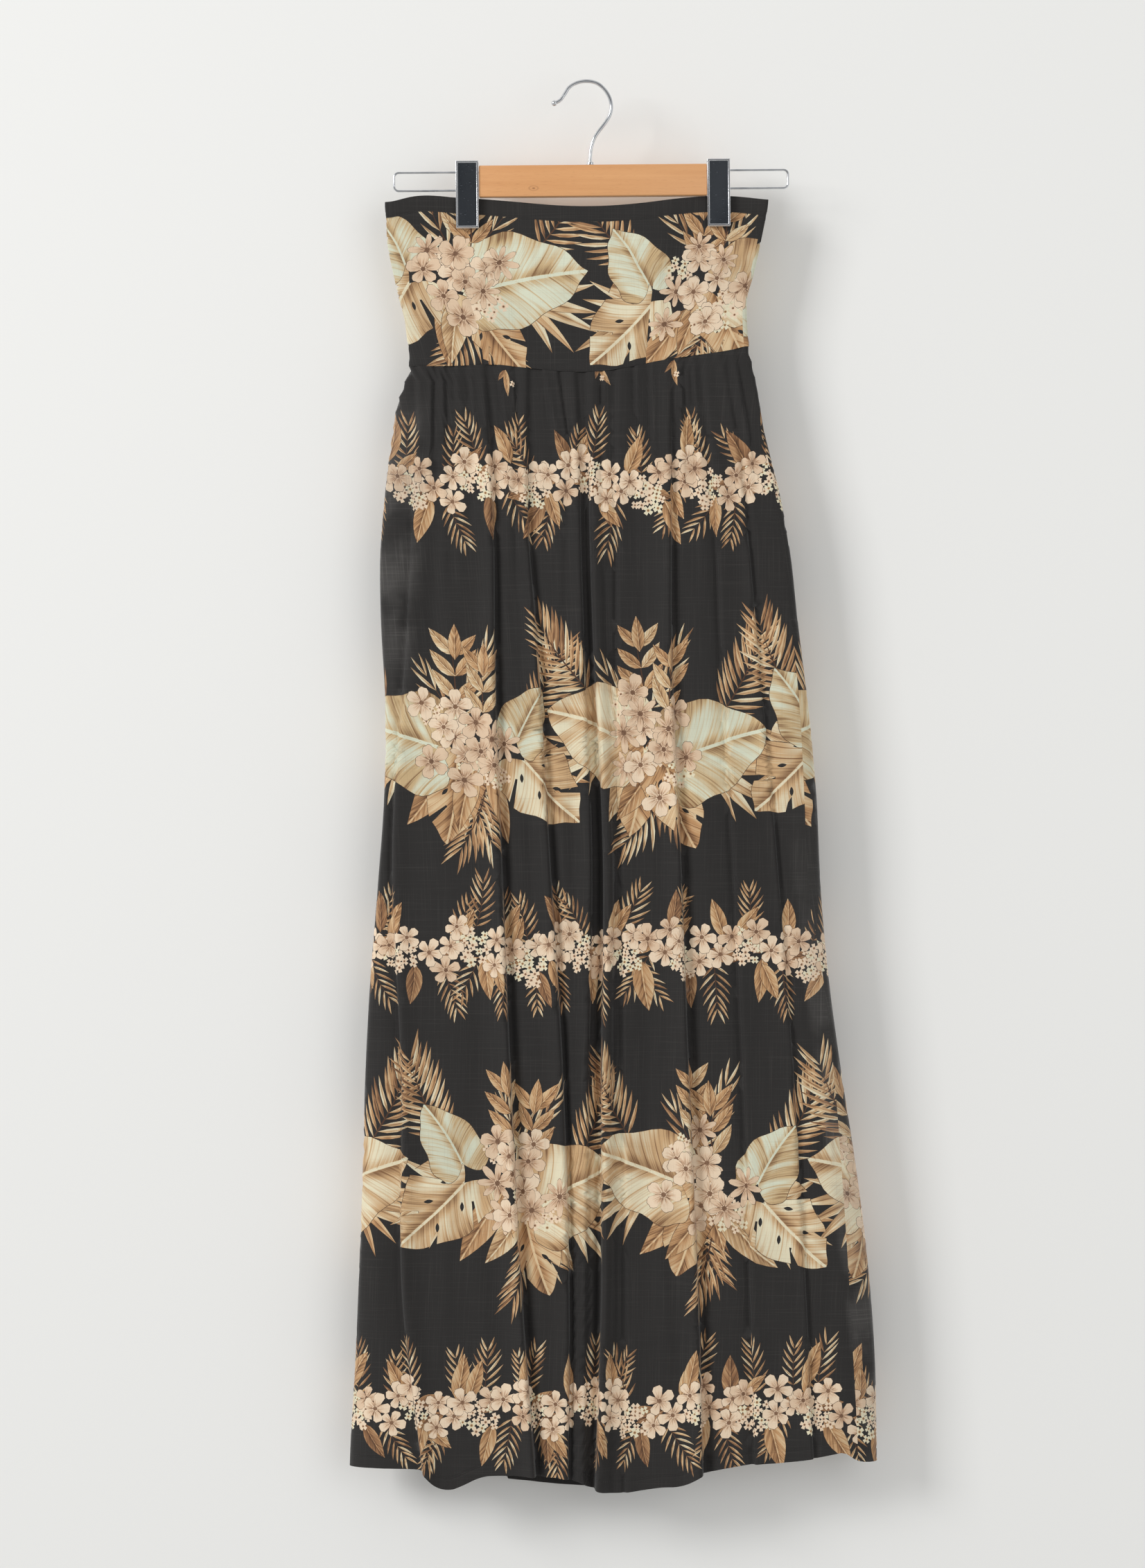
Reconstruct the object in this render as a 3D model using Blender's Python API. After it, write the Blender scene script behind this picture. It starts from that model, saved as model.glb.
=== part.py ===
"""Strapless maxi dress with a pleated skirt, pinched at its top edge by a clip hanger.

The dress hangs flat: a darted bodice front and a plain bodice back, and a pleated
skirt front and back.  Each piece is one thin wall.  All four are cut from one tube:
a closed section is worked out at every height from the outline, the depth and the
pleats at that height, and the side seams cut the tube into a front and a back.

The frame: x runs to the viewer's right, y to the back and z up, and the origin is the
inside top of the hanger's hook.  Tables and sizes are millimetres, and "drop" is the
distance below the origin.  Only the finished meshes are metres.
"""
import math
from collections import namedtuple

import bmesh
import bpy
import numpy as np

MM = 0.001

# ---------------------------------------------------------------- driving sizes

WALL = 1.2                 # cloth wall
SEAM_GAP = 0.3             # clearance between two pieces at a seam
CASING_DEPTH = 15.6        # turned top edge of the bodice
HEM_DEPTH = 11.0           # turned hem of the skirt
TURNING = 0.4              # extra thickness where an edge is turned in
DART_CREASE = 1.0          # depth of the crease along a dart's seam

BAR_LENGTH = 223.4
BAR_HEIGHT = 31.0
BAR_THICKNESS = 12.0
BAR_EDGE = 1.6             # softened edges
BAR_TOP = 80.6             # drop of the bar's top edge below the hook's inside top
BAR_START = -109.2         # left end of the bar, from the hook's shank
HOOK_SHANK = 3.5           # x of the hook's shank
HANGER_TILT = math.radians(0.48)

WIRE = 2.2                 # side loops
HOOK_WIRE = 3.6
UPPER_WIRE = 6.0           # below the bar's top
LOWER_WIRE = 23.8
LOOP_CORNER = 4.5
LOOP_REACH = {"left": -192.5, "right": 193.9}

CLIP_WIDTH = 22.2
CLIP_ABOVE_BAR = 4.5
CLIP_LENGTH = 65.7
CLIP_HALF_DEPTH = 7.6
CLIP_PLATE = 1.5
CLIP_LIP = 4.0
CLIP_RIM = 1.7
CLIP_RECESS = 0.5
CLIP_BAR_GAP = 0.5
CLIP_LIP_REACH = 2.05      # from the lip to the middle of the two cloth layers
PINCHED_DEPTH = WALL / 2 + 0.15

# ---------------------------------------------------------------- tables

# Outline of the hanging tube.  depth and side are half depths, at the middle and at
# the side folds; wrap is how far the front reaches round behind the left side fold.
Section = namedtuple("Section", "drop left right right_seam wrap depth side")
SECTIONS = (
    Section(108, -198.0, 179.0, 176.5, 3.0, 3.6, 2.2),
    Section(122, -198.2, 177.8, 175.5, 3.0, 3.8, 2.2),
    Section(136, -196.9, 175.1, 172.5, 3.0, 4.2, 2.2),
    Section(153, -196.2, 171.7, 169.0, 3.0, 5.4, 2.3),
    Section(190, -189.4, 163.5, 160.5, 3.5, 7.0, 2.6),
    Section(211, -184.6, 157.6, 154.6, 3.5, 7.0, 2.7),
    Section(231, -179.2, 157.4, 153.6, 4.0, 6.8, 2.8),
    Section(252, -176.5, 158.8, 154.6, 4.5, 6.5, 3.0),
    Section(272, -174.2, 162.0, 156.5, 5.0, 6.5, 3.0),
    Section(290, -178.0, 165.7, 162.0, 5.0, 7.0, 3.4),
    Section(313, -186.0, 169.7, 166.5, 6.0, 7.8, 3.8),
    Section(340, -190.4, 174.0, 171.5, 7.0, 9.0, 4.2),
    Section(361, -193.6, 179.0, 176.2, 8.0, 10.0, 4.6),
    Section(399, -198.0, 188.7, 185.4, 9.0, 11.5, 5.2),
    Section(462, -203.0, 200.3, 192.8, 11.0, 13.5, 6.0),
    Section(523, -202.6, 206.9, 199.6, 13.0, 15.0, 6.8),
    Section(608, -198.2, 217.5, 207.7, 15.0, 17.0, 7.6),
    Section(702, -199.0, 226.1, 211.8, 16.0, 18.5, 8.2),
    Section(787, -205.3, 230.0, 215.6, 17.0, 19.5, 8.6),
    Section(886, -213.4, 238.6, 233.0, 18.0, 20.5, 9.0),
    Section(968, -217.8, 249.9, 241.7, 18.0, 21.0, 9.2),
    Section(1053, -220.4, 263.3, 247.2, 19.0, 22.0, 9.6),
    Section(1151, -223.7, 276.0, 252.6, 20.0, 23.0, 10.0),
    Section(1244, -227.5, 283.2, 257.4, 20.0, 24.0, 10.4),
    Section(1338, -233.0, 285.3, 262.8, 20.0, 25.0, 11.0),
    Section(1385, -235.0, 285.6, 264.5, 20.0, 25.5, 11.2),
)

# Drops of the free edges and of the waist seam, by their place across the dress.
EdgePoint = namedtuple("EdgePoint", "x drop")
TOP_EDGE = (
    EdgePoint(-198, 121.4), EdgePoint(-186, 114.9), EdgePoint(-169, 110.9), EdgePoint(-154, 110.2),
    EdgePoint(-128, 112.6), EdgePoint(-105, 113.4), EdgePoint(-85, 115.6), EdgePoint(-60, 117.8),
    EdgePoint(-38, 120.0), EdgePoint(-2, 121.4), EdgePoint(32, 120.2), EdgePoint(59, 117.5),
    EdgePoint(86, 113.9), EdgePoint(106, 111.6), EdgePoint(140, 110.8), EdgePoint(159, 112.0),
    EdgePoint(173, 115.3), EdgePoint(179, 116.9),
)
WAIST_FRONT = (
    EdgePoint(-174, 278.1), EdgePoint(-130, 278.1), EdgePoint(-90, 276.8), EdgePoint(-53, 280.8),
    EdgePoint(-11, 284.2), EdgePoint(26, 282.2), EdgePoint(62, 274.7), EdgePoint(98, 268.6),
    EdgePoint(129, 264.5), EdgePoint(162, 258.4),
)
WAIST_BACK = (EdgePoint(-174, 278.1), EdgePoint(-60, 279.5), EdgePoint(60, 272.0), EdgePoint(162, 258.4))
HEM_FRONT = (
    EdgePoint(-232, 1350.0), EdgePoint(-198, 1357.0), EdgePoint(-162, 1358.0), EdgePoint(-154, 1368.5),
    EdgePoint(-96, 1363.0), EdgePoint(-50, 1363.5), EdgePoint(-8, 1369.0), EdgePoint(6, 1375.5),
    EdgePoint(74, 1374.0), EdgePoint(98, 1371.5), EdgePoint(112, 1362.5), EdgePoint(142, 1354.5),
    EdgePoint(210, 1348.4), EdgePoint(262, 1338.0), EdgePoint(285, 1332.0),
)
HEM_BACK = (
    EdgePoint(-232, 1350.0), EdgePoint(-120, 1366.0), EdgePoint(-20, 1379.0), EdgePoint(60, 1379.0),
    EdgePoint(160, 1356.0), EdgePoint(262, 1336.0), EdgePoint(285, 1332.0),
)

# Long folds of the skirt: the x of the crest at each of FOLD_DROPS, and the rise of the
# crest at each of RISE_DROPS.  A fold that faces right drops away on its right side.
FOLD_DROPS = (272, 365, 440, 540, 760, 975, 1190, 1370)
RISE_DROPS = (272, 440, 760, 1370)
FOLD_PLACES = ("waist", "hip", "thigh", "lap", "knee", "calf", "shin", "hem")
FOLD_RISES = ("rise_waist", "rise_thigh", "rise_knee", "rise_hem")
Fold = namedtuple("Fold", ("name", "faces") + FOLD_PLACES + FOLD_RISES)
FRONT_FOLDS = (
    Fold("side", "left", -164, -166, -169, -174, -188, -179, -178, -157, 1.8, 2.8, 5.0, 9.0),
    Fold("left_panel", "right", -102, -96, -93, -92, -85, -76, -65, -51, 2.2, 6.0, 10.0, 12.0),
    Fold("left_strip", "right", -59, -60, -59, -51, -38, -25, -19, -20, 2.2, 5.5, 8.0, 7.0),
    Fold("centre_left", "right", -13, -9, -8, -5, 3, 0, -2, -4, 2.2, 4.5, 6.0, 1.6),
    Fold("centre_right", "left", 2, 4, 5, 8, 18, 16, 16, 10, 2.2, 6.0, 11.0, 13.0),
    Fold("centre_crease", "left", 32, 31, 32, 32, 36, 38, 40, 40, 2.0, 2.2, 1.8, 1.4),
    Fold("right_panel", "right", 81, 81, 81, 81, 90, 98, 107, 112, 2.2, 5.5, 9.0, 11.0),
    Fold("right_soft", "left", 115, 123, 129, 133, 145, 155, 162, 166, 2.0, 3.0, 3.0, 4.0),
    Fold("right_edge", "right", 132, 147, 155, 164, 184, 200, 212, 220, 1.8, 2.2, 3.0, 3.0),
)
BACK_FOLDS = (
    Fold("back_left", "left", -128, -132, -138, -142, -148, -150, -154, -160, 1.6, 4.0, 7.0, 9.0),
    Fold("back_mid_left", "right", -66, -62, -60, -60, -64, -70, -74, -80, 1.6, 5.0, 8.0, 10.0),
    Fold("back_centre", "left", -8, -6, -4, 0, 6, 10, 14, 18, 1.8, 5.0, 9.0, 11.0),
    Fold("back_mid_right", "right", 52, 58, 64, 70, 84, 96, 104, 112, 1.6, 5.0, 8.0, 9.0),
    Fold("back_right", "left", 112, 122, 132, 142, 162, 180, 192, 204, 1.6, 3.5, 6.0, 8.0),
)

# Small pleats pressed in at the waist.  They run out between the hip and the lap.
Pleat = namedtuple("Pleat", "faces waist hip rise_waist rise_hip")
FRONT_PLEATS = (
    Pleat("right", -152, -153, 2.0, 2.0), Pleat("right", -141, -139, 2.1, 1.8),
    Pleat("left", -128, -127, 2.0, 2.4), Pleat("left", -116, -106, 2.2, 3.2),
    Pleat("left", -87, -76, 2.3, 3.4), Pleat("right", -74, -68, 1.8, 1.2),
    Pleat("left", -44, -26, 2.3, 3.6), Pleat("right", -31, -18, 1.8, 1.4),
    Pleat("left", 17, 17, 2.0, 1.6),
    Pleat("left", 48, 51, 2.1, 2.2), Pleat("left", 63, 66, 2.0, 2.4),
    Pleat("right", 92, 95, 2.0, 1.8), Pleat("left", 104, 110, 2.1, 2.6),
    Pleat("right", 145, 161, 1.8, 1.6),
)
BACK_PLEAT_PITCH = 20.0
BACK_PLEAT_RISES = (2.0, 2.3, 1.8)
BACK_PLEAT_DROP = 290.0    # drop at which the back's pleats are spaced out
BACK_PLEAT_SPREAD = 1.06   # how much further apart they are at the hip
BACK_PLEAT_GROWTH = 1.2    # and how much higher
BACK_FOLD_CLEAR = 9.0      # no small pleat lies closer to a long fold of the back
PLEATS_GONE = 520          # drop at which a small pleat has run out

# Bust darts of the bodice front, from the waist seam up to the tip.
Dart = namedtuple("Dart", "name foot_x tip_x tip_drop")
DARTS = (Dart("left", -101, -121, 196), Dart("right", 58, 68, 180))
DART_BOW = 1.5             # power of the dart's bowed line
DART_RUN_ON = 1.35         # its line runs on above the tip to this share of its length
DART_FADE = 0.25           # share of its length over which the crease ends at the tip
DART_HALF = 2.0            # from the seam to the controls beside it
DART_CLEAR = 3.0           # plain controls keep this far from the seam
BUST_FULLNESS = 2.6
BUST_SPREAD = 42.0
BODICE_CONTROLS = (4, 8, 5)    # plain controls left of the darts, between and right of them
BACK_CONTROLS = 16

# Route of the hook's wire, from the ball at its tip to the bar.
RoutePoint = namedtuple("RoutePoint", "x drop")
HOOK_ROUTE = (
    RoutePoint(-32.8, 20.2), RoutePoint(-26.2, 16.9), RoutePoint(-21.6, 10.8), RoutePoint(-17.1, 4.1),
    RoutePoint(-9.5, -0.4), RoutePoint(-0.3, -2.0), RoutePoint(10.3, 0.2), RoutePoint(18.8, 7.8),
    RoutePoint(23.3, 16.9), RoutePoint(24.2, 24.5), RoutePoint(22.4, 32.0), RoutePoint(17.8, 39.6),
    RoutePoint(11.8, 47.3), RoutePoint(7.2, 54.8), RoutePoint(4.8, 62.4), RoutePoint(3.6, 71.5),
    RoutePoint(HOOK_SHANK, BAR_TOP - 0.3),
)
HOOK_BALL = 5.4
HOOK_COLLAR = 7.0
HOOK_COLLAR_LENGTH = 3.2
HOOK_POINTS = 52           # along its wire

# Rows of the meshes, as shares of the way from the upper edge to the lower one.  A turned
# edge ends at a step in the wall, where its stitching lies.
BODICE_LENGTH = 157.0
SKIRT_LENGTH = 1085.0
TURNING_STEP = 0.8
CASING_SHARE = CASING_DEPTH / BODICE_LENGTH
HEM_SHARE = 1 - HEM_DEPTH / SKIRT_LENGTH
BODICE_ROWS = (
    0.0, CASING_SHARE, CASING_SHARE + TURNING_STEP / BODICE_LENGTH,
    0.18, 0.27, 0.38, 0.5, 0.62, 0.74, 0.87, 1.0,
)
SKIRT_ROWS = (
    0.0, 0.015, 0.04, 0.075, 0.12, 0.18, 0.26, 0.36, 0.47, 0.58, 0.69, 0.8, 0.9,
    HEM_SHARE - TURNING_STEP / SKIRT_LENGTH, HEM_SHARE, 1.0,
)

# Form of the tube: a blunt oval with flat side folds.
LEFT_FOLD_X = -190.0       # slanting rows are read here for the side folds' height
RIGHT_FOLD_X = 170.0
SIDE_TURN = 0.8            # share of the side's depth that its fold turns in
OVAL_SQUARENESS = 4
OVAL_FULLNESS = 0.6

# Where the clips press the cloth flat: beside them, below them, and how softly it ends.
PINCH_BESIDE = 2.5
PINCH_BELOW = 4.0
PINCH_SPREAD = 20.0
PINCH_FADE = 34.0

# Shape of a fold: shares of its rise at its shoulder, down its flank and at its foot.
SHOULDER_SHARE = 0.55
FLANK_SHARE = 0.1
FOOT_SHARE = 0.75
PLEAT_FOOT_SHARE = 0.6
CREST_BACK = 0.4           # a long fold's crest lies this far behind its nominal place

# Widths across the folds.
FLANK = 4.2
PLEAT_FLANK = 2.6
PLEAT_ROOM = 5.0           # a small pleat with less room beside it is lower
FOLD_ROOM = 4.6            # and so is a long fold
FLAT_BETWEEN = 12.0        # folds further apart than this have a flat panel between them
ROOM_SHARE = 0.9           # share of the way to the next crest that two folds fill
CLEAR_OF_FOLDS = 7.0       # a pleat that has run out keeps this far from the long folds,
CLEAR_SHARE = 0.3          # or this share of the width between them
LEAST_RISE = 0.8           # a pleat that has run out still takes the room of this rise
FOOT_ROOM = 7.5            # with less room than this, a long fold's foot is shallower
SHOULDER = 7.0             # from a long fold's crest back to the flat of its panel
FOLD_SAMPLES = 2           # mesh columns for each control on a long fold's flank
SIDE_SAMPLES = 2           # mesh columns for each control on a side fold

Material = namedtuple("Material", "name colour roughness metallic")
CLOTH = Material("black voile", (0.035, 0.032, 0.030), 0.85, 0.0)
WOOD = Material("lacquered beech", (0.72, 0.42, 0.20), 0.38, 0.0)
CHROME = Material("chrome", (0.62, 0.63, 0.65), 0.12, 1.0)


# ---------------------------------------------------------------- curves and tables

def column(table, field):
    """Return one named column of a table as an array."""
    return np.array([getattr(row, field) for row in table], dtype=float)


def smooth_between(where, places, values):
    """Read a smooth curve through the given values, flat past both ends."""
    places = np.asarray(places, dtype=float)
    values = np.asarray(values, dtype=float)
    where = np.clip(where, places[0], places[-1])
    slopes = np.gradient(values, places)
    index = np.clip(np.searchsorted(places, where, side="right") - 1, 0, len(places) - 2)
    span = places[index + 1] - places[index]
    t = (where - places[index]) / span
    rise = t * t * (3 - 2 * t)
    start = t * (1 - t) ** 2 * span
    end = -t * t * (1 - t) * span
    bent = slopes[index] * start + slopes[index + 1] * end
    return values[index] * (1 - rise) + values[index + 1] * rise + bent


def section_value(field, drop):
    """Read a column of the outline table at a drop."""
    return smooth_between(drop, column(SECTIONS, "drop"), column(SECTIONS, field))


def edge_drop(edge, x):
    """Read the drop of an edge or seam at a place across the dress."""
    return smooth_between(x, column(edge, "x"), column(edge, "drop"))


def bump(distance, spread):
    """A soft hill, one at the middle and nothing far away."""
    return math.exp(-((distance / spread) ** 2))


def ramp(value, low, high):
    """Rise softly from nothing at low to one at high."""
    t = min(max((value - low) / (high - low), 0.0), 1.0)
    return t * t * (3 - 2 * t)


# ---------------------------------------------------------------- form of the tube

def half_depth(x, drop):
    """Half the depth of the unpleated tube at a place."""
    left = section_value("left", drop)
    right = section_value("right", drop)
    side = section_value("side", drop)
    middle = section_value("depth", drop)
    across = min(abs((x - (left + right) / 2) / ((right - left) / 2)), 1.0)
    return side + (middle - side) * (1 - across ** OVAL_SQUARENESS) ** OVAL_FULLNESS


def clip_centres():
    """Return the x of the two clips in the tilted hanger's frame."""
    left = BAR_START - CLIP_BAR_GAP - CLIP_WIDTH / 2
    right = BAR_START + BAR_LENGTH + CLIP_BAR_GAP + CLIP_WIDTH / 2
    return left, right


def pinch(x, drop):
    """How far the clips press the two layers together at a place, from 0 to 1."""
    flat_half = CLIP_WIDTH / 2 + PINCH_BESIDE
    clip_foot = BAR_TOP - CLIP_ABOVE_BAR + CLIP_LENGTH + PINCH_BELOW
    share = 0.0
    for centre in clip_centres():
        beside = max(abs(x - centre - HOOK_SHANK) - flat_half, 0.0)
        fading = 1 - ramp(drop, clip_foot, clip_foot + PINCH_FADE)
        share = max(share, bump(beside, PINCH_SPREAD) * fading)
    return share


def bodice_depth(x, drop):
    """Half the depth of the bodice, pressed flat at the clips and full at the bust."""
    depth = half_depth(x, drop)
    held = pinch(x, drop)
    return depth + (PINCHED_DEPTH - depth) * held


def dart_line(dart, drop):
    """Return the x of a dart's seam and how strongly it creases at a drop."""
    foot_drop = edge_drop(WAIST_FRONT, dart.foot_x)
    share = (foot_drop - drop) / (foot_drop - dart.tip_drop)
    bowed = min(max(share, 0.0) ** DART_BOW, DART_RUN_ON)
    return dart.foot_x + (dart.tip_x - dart.foot_x) * bowed, ramp(1.0 - share, 0.0, DART_FADE)


def bodice_front_depth(x, drop):
    """Half depth of the bodice front, with the bust's fullness above the darts."""
    depth = bodice_depth(x, drop)
    for dart in DARTS:
        away = math.hypot(x - dart.tip_x, drop - dart.tip_drop)
        depth += BUST_FULLNESS * bump(away, BUST_SPREAD) * (1 - pinch(x, drop))
    return depth


# ---------------------------------------------------------------- pleats

Control = namedtuple("Control", "x rise samples")


def fold_place(fold, drop):
    """Return the x and the rise of a long fold's crest at a drop."""
    places = [getattr(fold, field) for field in FOLD_PLACES]
    rises = [getattr(fold, field) for field in FOLD_RISES]
    return float(smooth_between(drop, FOLD_DROPS, places)), float(smooth_between(drop, RISE_DROPS, rises))


def pleat_place(pleat, drop, share, before, after):
    """Return the x and the rise of a small pleat between its two long folds."""
    pressed_x = float(np.interp(drop, FOLD_DROPS[:2], (pleat.waist, pleat.hip)))
    clear = min(CLEAR_OF_FOLDS, CLEAR_SHARE * (after - before))
    spread_x = before + clear + (after - before - 2 * clear) * share
    opened = ramp(drop, FOLD_DROPS[1], PLEATS_GONE)
    rises = (pleat.rise_waist, pleat.rise_hip, 0.0)
    rise = float(np.interp(drop, (*FOLD_DROPS[:2], PLEATS_GONE), rises))
    return pressed_x + (spread_x - pressed_x) * opened, rise


def pleat_order(folds, pleats):
    """List folds and pleats from left to right, each pleat with its share between folds."""
    crests = [fold.waist for fold in folds]
    order = []
    for slot in range(len(folds) + 1):
        low = crests[slot - 1] if slot else -1e9
        high = crests[slot] if slot < len(folds) else 1e9
        inside = [pleat for pleat in pleats if low < pleat.waist < high]
        for number, pleat in enumerate(inside, start=1):
            order.append((pleat, slot, number / (len(inside) + 1)))
        if slot < len(folds):
            order.append((folds[slot], slot, None))
    return order


def fold_controls(x, rise, faces, room):
    """Controls across a long fold: the shoulder, the crest, the flank and its foot.

    room is the clear width beside the fold, on the shoulder's side and on the flank's.
    """
    side = 1 if faces == "right" else -1
    shoulder = min(SHOULDER, room[0])
    flank = min(FLANK, room[1])
    rise *= min(1.0, min(room) / FOLD_ROOM)
    foot = -rise * FOOT_SHARE * min(1.0, room[1] / FOOT_ROOM) ** 2
    controls = (
        Control(x - side * shoulder, rise * SHOULDER_SHARE, 1),
        Control(x - side * CREST_BACK, rise, FOLD_SAMPLES),
        Control(x + side * flank / 2, rise * FLANK_SHARE, FOLD_SAMPLES),
        Control(x + side * flank, foot, 1),
    )
    return controls[::side]


def pleat_controls(x, rise, faces, room):
    """Controls across a small pleat: its crest and the foot of its short flank."""
    side = 1 if faces == "right" else -1
    flank = min(PLEAT_FLANK, room[1])
    crowded = min(1.0, min(room) / PLEAT_ROOM)
    foot = -rise * crowded * PLEAT_FOOT_SHARE
    controls = (Control(x, rise * crowded, 1), Control(x + side * flank, foot, 1))
    return controls[::side]


def room_beside(crest, neighbour):
    """Width that a fold may take towards its neighbour: the higher of the two takes more."""
    (x, rise), (other_x, other_rise) = crest, neighbour
    rise = max(rise, LEAST_RISE)
    return ROOM_SHARE * abs(other_x - x) * rise / (rise + max(other_rise, LEAST_RISE))


def between(before, after):
    """Control half way between two folds: flat where they are apart, else level with them."""
    close = bump(after.x - before.x, FLAT_BETWEEN)
    return Control((before.x + after.x) / 2, close * (before.rise + after.rise) / 2, 1)


def skirt_controls(order, folds, low, high, drops):
    """Controls across one side of the skirt, from x low to x high.

    drops gives the drop at a place across the skirt, so that each fold is read at its own
    height on the slanting row.
    """
    crests = []
    for item, slot, share in order:
        drop = drops(item.waist)
        if share is None:
            crests.append(fold_place(item, drop))
            continue
        before = fold_place(folds[slot - 1], drop)[0] if slot else low
        after = fold_place(folds[slot], drop)[0] if slot < len(folds) else high
        crests.append(pleat_place(item, drop, share, before, after))
    edges = [(low, 0.0)] + crests + [(high, 0.0)]
    controls = []
    previous = Control(low, 0.0, 1)
    for number, ((item, _, share), (x, rise)) in enumerate(zip(order, crests)):
        beside = (room_beside((x, rise), edges[number]), room_beside((x, rise), edges[number + 2]))
        room = beside if item.faces == "right" else beside[::-1]
        build = fold_controls if share is None else pleat_controls
        group = build(x, rise, item.faces, room)
        controls.append(between(previous, group[0]))
        controls.extend(group)
        previous = group[-1]
    controls.append(between(previous, Control(high, 0.0, 1)))
    return controls


def back_pleats():
    """Small pleats of the back, evenly pressed between its long folds."""
    low = float(section_value("left", BACK_PLEAT_DROP)) + BACK_PLEAT_PITCH
    high = float(section_value("right", BACK_PLEAT_DROP)) - BACK_PLEAT_PITCH
    count = int((high - low) / BACK_PLEAT_PITCH)
    pleats = []
    for number in range(count + 1):
        x = low + (high - low) * number / count
        rise = BACK_PLEAT_RISES[number % len(BACK_PLEAT_RISES)]
        faces = "right" if number % 2 else "left"
        if min(abs(x - fold.waist) for fold in BACK_FOLDS) > BACK_FOLD_CLEAR:
            pleats.append(Pleat(faces, x, x * BACK_PLEAT_SPREAD, rise, rise * BACK_PLEAT_GROWTH))
    return tuple(pleats)


# ---------------------------------------------------------------- sections

def side_fold(x, side, drop):
    """Two controls that turn the section round a side fold, front control first."""
    return ((x, -side, drop), (x, side, drop))


def spaced_controls(low, high, count):
    """Plain controls, evenly spread between two places."""
    return [Control(low + (high - low) * (number + 0.5) / count, 0.0, 1) for number in range(count)]


def bodice_controls(drops, low, high):
    """Plain controls of the bodice front, with three across each dart."""
    places = [(low, None)]
    for dart in DARTS:
        x, crease = dart_line(dart, drops(dart.foot_x))
        places.append((x, crease))
    places.append((high, None))
    controls = []
    for (start, start_crease), (end, end_crease), count in zip(places, places[1:], BODICE_CONTROLS):
        inset_start = 0.0 if start_crease is None else DART_CLEAR
        inset_end = 0.0 if end_crease is None else DART_CLEAR
        controls.extend(spaced_controls(start + inset_start, end - inset_end, count))
        if end_crease is not None:
            controls.append(Control(end - DART_HALF, 0.0, 1))
            controls.append(Control(end, -DART_CREASE * end_crease, 1))
            controls.append(Control(end + DART_HALF, 0.0, 1))
    return controls


def closed_spline(points, samples):
    """Sample a closed uniform cubic B-spline, with the given samples after each control."""
    count = len(points)
    points = np.asarray(points, dtype=float)
    result = []
    for index in range(count):
        p0, p1, p2, p3 = (points[(index + offset) % count] for offset in (-1, 0, 1, 2))
        for step in range(samples[index]):
            t = step / samples[index]
            weights = ((1 - t) ** 3, 3 * t ** 3 - 6 * t * t + 4, -3 * t ** 3 + 3 * t * t + 3 * t + 1, t ** 3)
            result.append((weights[0] * p0 + weights[1] * p1 + weights[2] * p2 + weights[3] * p3) / 6)
    return np.array(result)


def section(front, back, front_depth, back_depth, front_drop, back_drop):
    """Build one closed section and say which of its columns lie on the seams.

    The section starts at the left seam, which lies behind the left side fold, runs across
    the front to the right seam, turns round the right side fold and runs back.
    """
    left_drop = front_drop(LEFT_FOLD_X)
    right_drop = front_drop(RIGHT_FOLD_X)
    left = float(section_value("left", left_drop))
    right = float(section_value("right", right_drop))
    left_side = float(section_value("side", left_drop)) * SIDE_TURN
    right_side = float(section_value("side", right_drop)) * SIDE_TURN
    wrap = float(section_value("wrap", left_drop))
    seam = float(section_value("right_seam", right_drop))
    points = [(left + wrap, back_depth(left + wrap, left_drop), left_drop)]
    samples = [1]
    for place in reversed(side_fold(left, left_side, left_drop)):
        points.append(place)
        samples.append(SIDE_SAMPLES)
    for control in front(left, seam):
        drop = front_drop(control.x)
        points.append((control.x, -front_depth(control.x, drop) - control.rise, drop))
        samples.append(control.samples)
    right_index = sum(samples)
    points.append((seam, -front_depth(seam, right_drop), right_drop))
    samples.append(1)
    for place in side_fold(right, right_side, right_drop):
        points.append(place)
        samples.append(SIDE_SAMPLES)
    for control in reversed(back(left + wrap, right)):
        drop = back_drop(control.x)
        points.append((control.x, back_depth(control.x, drop) + control.rise, drop))
        samples.append(control.samples)
    return closed_spline(points, samples), right_index


def row_drop(upper, lower, share):
    """Drop at a place across a row that lies a share of the way between two edges."""
    return lambda x: float(edge_drop(upper, x) * (1 - share) + edge_drop(lower, x) * share)


def bodice_section(share):
    """One section of the bodice, from its top edge (0) to the waist seam (1)."""
    front_drop = row_drop(TOP_EDGE, WAIST_FRONT, share)
    back_drop = row_drop(TOP_EDGE, WAIST_BACK, share)
    return section(
        lambda low, high: bodice_controls(front_drop, low, high),
        lambda low, high: spaced_controls(low, high, BACK_CONTROLS),
        bodice_front_depth, bodice_depth, front_drop, back_drop,
    )


def skirt_section(share):
    """One section of the skirt, from the waist seam (0) to the hem (1)."""
    front_drop = row_drop(WAIST_FRONT, HEM_FRONT, share)
    back_drop = row_drop(WAIST_BACK, HEM_BACK, share)
    front_order = pleat_order(FRONT_FOLDS, FRONT_PLEATS)
    back_order = pleat_order(BACK_FOLDS, back_pleats())
    return section(
        lambda low, high: skirt_controls(front_order, FRONT_FOLDS, low, high, front_drop),
        lambda low, high: skirt_controls(back_order, BACK_FOLDS, low, high, back_drop),
        half_depth, half_depth, front_drop, back_drop,
    )


# ---------------------------------------------------------------- walls

def section_normals(ring):
    """Outward directions of a closed section, level with the floor."""
    along = np.roll(ring, -1, axis=0) - np.roll(ring, 1, axis=0)
    normals = np.stack((along[:, 1], -along[:, 0]), axis=1)
    return normals / np.linalg.norm(normals, axis=1, keepdims=True)


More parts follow.
